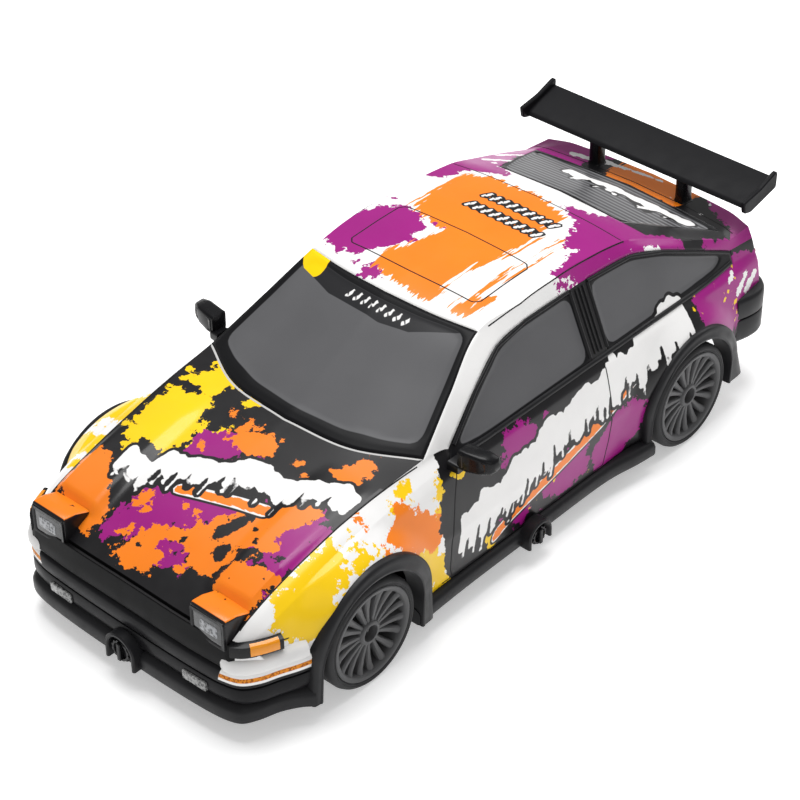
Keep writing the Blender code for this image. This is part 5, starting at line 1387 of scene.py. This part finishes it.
def fog_lamps():
    """Clear lamps in the bumper, whose faces turn back slightly towards the corners."""
    ring = front_outline(16.7, 10.2, 23.3, 12.5, 0.4)
    lens = Shape()
    lens.loft([[(x, -85.6, z) for x, z in ring], [(x, -86.62 + 0.02 * (x - 16.7), z) for x, z in ring],
               [(x, -86.75 + 0.02 * (x - 16.7), z) for x, z in shrunk(ring, 0.25)]])
    # The fog lens's bright cells are painted glints.
    lens.pair("fog", reflector("fog_glass", srgb(58, 58, 60), srgb(146, 146, 145), 0.7), "fog_lamp",
              "clear_plastic")


def tail_lamps():
    """Red lamps with a groove along the middle, wrapped round the tail."""
    lens = Shape()
    bar(lens, [(12.5, 90.4), (23, 89.3), (31.0, 87.7)],
        [(-1.0, 28.3), (-0.2, 28.4), (0, 28.8), (0, 30.9), (-0.15, 31.05), (0, 31.2), (0, 33.3),
         (-0.2, 33.7), (-1.0, 33.8)], 6, whole=False)
    red = moulded("tail_glass", srgb(168, 18, 20), 0.12, 0.25, 0.45, 0.03, Coat_Weight=0.4)
    lens.pair("tail", red, "tail_lamp", "red_plastic")


# x, front, rear, bottom and top of the mirror housing
MIRROR_SECTIONS = [(35.4, -23.6, -21.2, 37.0, 41.0), (35.9, -24.6, -20.4, 36.7, 41.7),
                   (38.0, -24.5, -20.2, 36.9, 41.8), (41.0, -23.9, -19.7, 37.4, 41.8),
                   (43.2, -22.9, -19.7, 37.9, 41.4), (43.8, -22.0, -20.2, 38.5, 40.8)]


def mirror_front(x):
    """Where the mirror housing's front face lies at each x."""
    return float(np.interp(x, [35.9, 38.0, 41.0, 43.2], [-24.6, -24.5, -23.9, -22.9]))


def mirrors(gloss):
    """Tapered mirror housings on a foot, with the glass sunk behind a rim on the side that faces forward."""
    housing = Shape()
    housing.loft([section_box(x, (front, low), (rear, high), 0.9)
                  for x, front, rear, low, high in MIRROR_SECTIONS])
    housing.loft([section_box(x, (-25.4 + inset, 35.9), (-21.4 - inset, 38.4 - inset), 0.5)
                  for x, inset in ((33.8, 0), (36.4, 0.4))])
    housing.pair("mirror_housing", gloss, "mirror", angle=45)
    outer = rounded([(36.5, 37.4), (42.7, 38.5), (42.7, 41.0), (36.5, 41.1)], 0.7, 4)
    inner = shrunk(outer, 0.35)
    rim_shape = Shape()
    rim_shape.loft([[(x, mirror_front(x) - out, z) for x, z in ring]
                    for ring, out in ((outer, -0.3), (outer, 0.12), (inner, 0.12))], caps=False)
    rim_shape.pair("mirror_rim", gloss, angle=45)
    pane = Shape()
    pane.loft([[(x, mirror_front(x) + sunk, z) for x, z in inner] for sunk in (0.3, -0.03)])
    glass = moulded("mirror_glass", srgb(46, 36, 30), 0.1, 0.2, 2.0, 0.01, Coat_Weight=0.5)
    pane.pair("mirror_pane", glass, angle=45)


def wing(satin, gloss):
    """A cambered blade between end plates that rise to a point at the rear, on two rounded posts."""
    blade = Shape()
    outline = rounded([(79.3, 48.9), (80.2, 48.5), (84, 49.7), (90.1, 52.0), (90.1, 53.0), (84, 51.2),
                       (80.0, 49.9)], 0.5, 4)
    blade.loft([[(x, y, z) for y, z in outline] for x in np.linspace(-32.4, 32.4, 9)])
    plate = rounded([(78.1, 48.7), (80.4, 48.0), (90.2, 50.3), (90.4, 54.3), (89.6, 54.6), (84.0, 52.6),
                     (77.6, 51.6)], 0.6, 4)
    end = Shape()
    end.prism(plate, 0, 32.2, 33.4, 0.25)
    for shape in (end, end.mirrored()):
        blade.add(shape.points, shape.faces)
    blade.piece("wing_visual", satin, "shell", ("wing_blade",), "black_plastic", 35)
    post = Shape()
    sections = []
    for z, grow in ((41.0, 0.9), (41.6, 0.3), (42.6, 0.0), (45, 0.0), (48.2, 0.0), (49.3, 0.25)):
        ring = rounded([(11.3 - grow, 80.9 - grow), (14.5 + grow, 80.9 - grow), (14.5 + grow, 84.4 + grow),
                        (11.3 - grow, 84.4 + grow)], 1.2, 5)
        sections.append([(x, y, z) for x, y in ring])
    post.loft(sections)
    post.pair("wing_post", gloss, "wing_strut")


def latch(name, body, axis, centre, face, root, radius, finish):
    """A quarter-turn knob: a fluted skirt, a raised grip bar across its face, and its shaft."""
    shape = Shape()
    sign = 1 if face > root else -1

    def flutes(angle, reach):
        return -0.16 * (1 + math.cos(12 * angle)) if reach > radius * 0.85 else 0.0

    shape.turned([(root, 0.0), (root, 1.4), (face - sign * 3.2, 1.4), (face - sign * 3.2, radius * 0.95),
                  (face - sign * 2.9, radius), (face - sign * 1.4, radius),
                  (face - sign * 1.1, radius * 0.93), (face - sign * 1.1, radius * 0.7),
                  (face - sign * 1.5, radius * 0.62), (face - sign * 1.5, 0.0)],
                 axis, centre, 72, wave=flutes)
    pair = [c for k, c in enumerate(centre) if k != axis]
    reach = radius * 0.85
    grip = rounded([(pair[0] - 0.55, pair[1] - reach), (pair[0] + 0.55, pair[1] - reach),
                    (pair[0] + 0.55, pair[1] + reach), (pair[0] - 0.55, pair[1] + reach)], 0.4, 4)
    low, high = sorted((face - sign * 1.8, face - sign * 0.5))
    shape.prism(grip, axis, low, high, 0.2)
    shape.piece(f"{name}_visual", finish, body, (name,), "black_plastic", 40)


def latches(finish):
    """The front knob on its axis along Y and the side knobs on theirs along X."""
    latch("latch_front", "front_latch", 1, (0, -86, 8.4), -89.6, -81.2, 2.8, finish)
    latch("latch_left", "left_latch", 0, (38, -1.5, 6.9), 41.0, 31.2, 2.4, finish)
    latch("latch_right", "right_latch", 0, (-38, -1.5, 6.9), -41.0, -31.2, 2.4, finish)


# Wheels

def tyre(name, side, axle_y, body, finish):
    """A tyre with rounded shoulders, a raised bead on its sidewall and fine grooves round the tread."""
    shape = Shape()
    profile = [(30.2, 11.15), (30.0, 11.5), (30.0, 12.2), (30.5, 12.75), (31.2, 13.0)]
    for groove in (32.8, 34.5, 36.2):
        profile += [(groove - 0.3, 13.0), (groove - 0.2, 12.82), (groove + 0.2, 12.82), (groove + 0.3, 13.0)]
    profile += [(37.9, 13.0), (38.6, 12.75), (39.05, 12.3), (39.15, 11.95), (39.0, 11.75), (39.1, 11.5),
                (38.8, 11.15)]
    shape.turned(profile, 0, (0, axle_y, AXLE_Z), 96, closed=True)
    shape.sided(side).piece(f"tyre_{name}_visual", finish, body, (f"tyre_{name}",), "tyre_plastic", 45)


def rim(name, side, axle_y, body, finish):
    """Barrel and lip, slim spokes in forked pairs, and a hub with a deep recess."""
    shape = Shape()
    centre = (0, axle_y, AXLE_Z)
    shape.turned([(30.2, 10.1), (30.1, 10.5), (30.2, 11.1), (39.0, 11.1), (39.15, 10.9), (39.1, 10.3),
                  (38.8, 9.95), (38.2, 9.8), (37.4, 9.75), (36.8, 9.8)], 0, centre, 96, closed=True)
    shape.turned([(32.4, 1.4), (32.4, 2.6), (36.2, 3.0), (37.7, 3.0), (38.25, 2.8), (38.5, 2.4),
                  (38.45, 1.95), (37.4, 1.8), (36.4, 1.75), (36.4, 1.0), (36.9, 0.6), (36.9, 0.0)],
                 0, centre, 48)
    forks = 9
    for k in range(2 * forks):
        base = 2 * math.pi * (k // 2 + 0.5) / forks
        lean = 1 if k % 2 else -1
        sections = []
        for radius, width, front, spread in ((2.2, 0.5, 38.1, 6.0), (3.6, 0.56, 37.9, 7.5),
                                             (6.2, 0.66, 37.9, 8.4), (8.8, 0.8, 38.2, 9.2),
                                             (10.4, 1.0, 38.7, 9.8)):
            angle = base + lean * math.radians(spread)
            out = np.array((0, math.cos(angle), math.sin(angle)))
            across = np.array((0, -math.sin(angle), math.cos(angle)))
            middle = np.array((0, axle_y, AXLE_Z)) + out * radius
            section = []
            for share, depth in ((-1, 1.5), (-1, 0.35), (-0.55, 0), (0.55, 0), (1, 0.35), (1, 1.5)):
                section.append(middle + across * (share * width) + np.array((front - depth, 0, 0)))
            sections.append(section)
        shape.loft(sections)
    shape.sided(side).piece(f"rim_{name}_visual", finish, body, (f"rim_{name}",), "grey_plastic", 40)


def wheels():
    """Four tyres and four rims."""
    rubber = Finish("tyre_rubber")
    rubber.rough(0.55, 0.7)
    rubber.grain(0.25, 0.03)
    rubber = rubber.paint(rubber.shaded(srgb(52, 52, 53), 5.0, 0.12))
    grey = moulded("rim_grey", srgb(84, 84, 85), 0.35, 0.5)
    for end, axle_y in (("front", -AXLE_Y), ("rear", AXLE_Y)):
        for name, side in SIDES:
            body = f"front_wheel_{name}" if end == "front" else "rear_wheels"
            tyre(f"{end}_{name}", side, axle_y, body, rubber)
            rim(f"{end}_{name}", side, axle_y, body, grey)


# Screws

def screws():
    """Pan-head screws in the deck, the gearbox covers and the underside of the chassis."""
    steel = turned_metal("screw_steel", (0.16, 0.16, 0.17, 1), 2)
    shape = Shape()

    def recess(angle, radius):
        return 0.13 * math.cos(4 * angle) if 0.2 < radius < 0.6 else 0.0

    def screw(x, y, z, up):
        profile = [(-0.3, 1.15), (0.12, 1.15), (0.38, 1.0), (0.52, 0.75), (0.54, 0.5), (0.2, 0.42),
                   (0.2, 0.0)]
        shape.turned([(z + up * rise, radius) for rise, radius in profile], 2, (x, y, z), 24, wave=recess)

    for x in (-23.4, 23.4):
        for y in (-28.4, 29.4):
            screw(x, y, 22.6, 1)
    for axle_y in (-AXLE_Y, AXLE_Y):
        for x in (-5.6, 5.8):
            for y in (axle_y - 5.6, axle_y + 5.6):
                screw(x, y, 21.4, 1)
                screw(x, y, 3.6, -1)
    shape.piece("screws", steel, "chassis", (), "steel", 35)


# CAD nodes that are shown as they are, with softened edges

def dress(names, finish, bevel=0.2):
    """Give CAD nodes a finish and soft edges."""
    for name in names:
        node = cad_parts[name]
        node.data.materials.clear()
        node.data.materials.append(finish)
        if bevel:
            soft = node.modifiers.new("soft_edges", "BEVEL")
            soft.width = bevel * MM
            soft.segments = 2
            soft.limit_method = "ANGLE"
            soft.angle_limit = math.radians(40)
            soft.harden_normals = True


def both(name):
    """The left and right names of a pair."""
    return [f"{name}_{side}" for side, _ in SIDES]


def dress_nodes():
    """Finishes for the CAD nodes that no piece replaces."""
    chassis = moulded("chassis_plastic_grain", srgb(52, 52, 55), 0.5, 0.65)
    nylon = moulded("nylon_white", srgb(215, 213, 203), 0.4, 0.5)
    wrap = moulded("shrink_film", srgb(40, 80, 150), 0.2, 0.35, 3.0, 0.03)
    board = moulded("solder_mask", srgb(20, 92, 48), 0.25, 0.4, 0.5, 0.03)
    dress(["chassis_tub", "chassis_deck", "battery_door", "front_gearbox", "rear_gearbox",
           *both("steering_knuckle"), "tie_rod", "steering_servo", "power_switch"], chassis)
    dress(["spur_gear", "servo_arm"], nylon, 0.1)
    dress(["battery_pack"], wrap)
    dress(["circuit_board"], board, 0.1)
    lengthwise = turned_metal("steel_lengthwise", (0.6, 0.6, 0.6, 1), 1)
    crosswise = turned_metal("steel_crosswise", (0.6, 0.6, 0.6, 1), 0)
    dress(["drive_motor", "motor_pinion", "drive_shaft"], lengthwise, 0.1)
    dress(["rear_axle", "front_axle", *both("stub_axle")], crosswise, 0.1)


# Studio

def camera():
    """The camera, at the photograph's angle."""
    azimuth, elevation, roll = (math.radians(angle) for angle in CAMERA_ANGLES)
    back = Vector((math.sin(azimuth) * math.cos(elevation), -math.cos(azimuth) * math.cos(elevation),
                   math.sin(elevation)))
    level = Vector((math.cos(azimuth), math.sin(azimuth), 0))
    upright = back.cross(level)
    right = math.cos(roll) * level + math.sin(roll) * upright
    up = -math.sin(roll) * level + math.cos(roll) * upright
    data = bpy.data.cameras.new("camera")
    data.lens = CAMERA_LENS
    data.sensor_width = 36
    data.clip_start = 0.01
    made = bpy.data.objects.new("camera", data)
    made.matrix_world = Matrix(((right.x, up.x, back.x, CAMERA_PLACE[0]),
                                (right.y, up.y, back.y, CAMERA_PLACE[1]),
                                (right.z, up.z, back.z, CAMERA_PLACE[2]), (0, 0, 0, 1)))
    bpy.context.scene.collection.objects.link(made)
    bpy.context.scene.camera = made


def lamp(name, place, size, power):
    """A soft round lamp that points at the car."""
    data = bpy.data.lights.new(name, "AREA")
    data.shape = "DISK"
    data.size = size
    data.energy = power
    made = bpy.data.objects.new(name, data)
    made.location = place
    made.rotation_euler = (Vector((0, 0, 0.02)) - Vector(place)).to_track_quat("-Z", "Y").to_euler()
    bpy.context.scene.collection.objects.link(made)


def studio():
    """A pale floor, a white surround and three soft lamps."""
    floor = Finish("studio_floor", 0.9, Emission_Color=(1, 1, 1, 1), Emission_Strength=0.38)
    floor_finish = floor.paint(floor.shaded((0.9, 0.9, 0.9, 1), 300.0, 0.01))
    mesh = bpy.data.meshes.new("floor")
    reach = 3.0
    mesh.from_pydata([(-reach, -reach, 0), (reach, -reach, 0), (reach, reach, 0), (-reach, reach, 0)], [],
                     [(0, 1, 2, 3)])
    mesh.materials.append(floor_finish)
    made = bpy.data.objects.new("floor", mesh)
    bpy.context.scene.collection.objects.link(made)
    world = bpy.data.worlds.new("world")
    bpy.context.scene.world = world
    world.use_nodes = True
    world.node_tree.nodes["Background"].inputs["Color"].default_value = (1, 1, 1, 1)
    world.node_tree.nodes["Background"].inputs["Strength"].default_value = 0.33
    lamp("key", (-0.12, 0.08, 0.8), 0.6, 6.4)
    lamp("fill", (0.6, -0.4, 0.45), 0.5, 0.45)
    lamp("back", (0.1, 0.7, 0.5), 0.5, 1.5)
    bpy.context.scene.view_settings.view_transform = "Standard"


build_shell()
skirt_finish = front_end()
rear_end(skirt_finish)
skirts(skirt_finish)
gloss_black = moulded("gloss_black", srgb(18, 18, 20), 0.2, 0.32, 0.6, 0.01,
                      Specular_IOR_Level=0.15, Coat_Weight=0.08)
satin_black = moulded("satin_black", srgb(24, 24, 26), 0.4, 0.55, Specular_IOR_Level=0.1)
headlights(gloss_black)
markers(gloss_black)
fog_lamps()
tail_lamps()
mirrors(gloss_black)
wing(satin_black, gloss_black)
latches(gloss_black)
wheels()
screws()
dress_nodes()
camera()
studio()
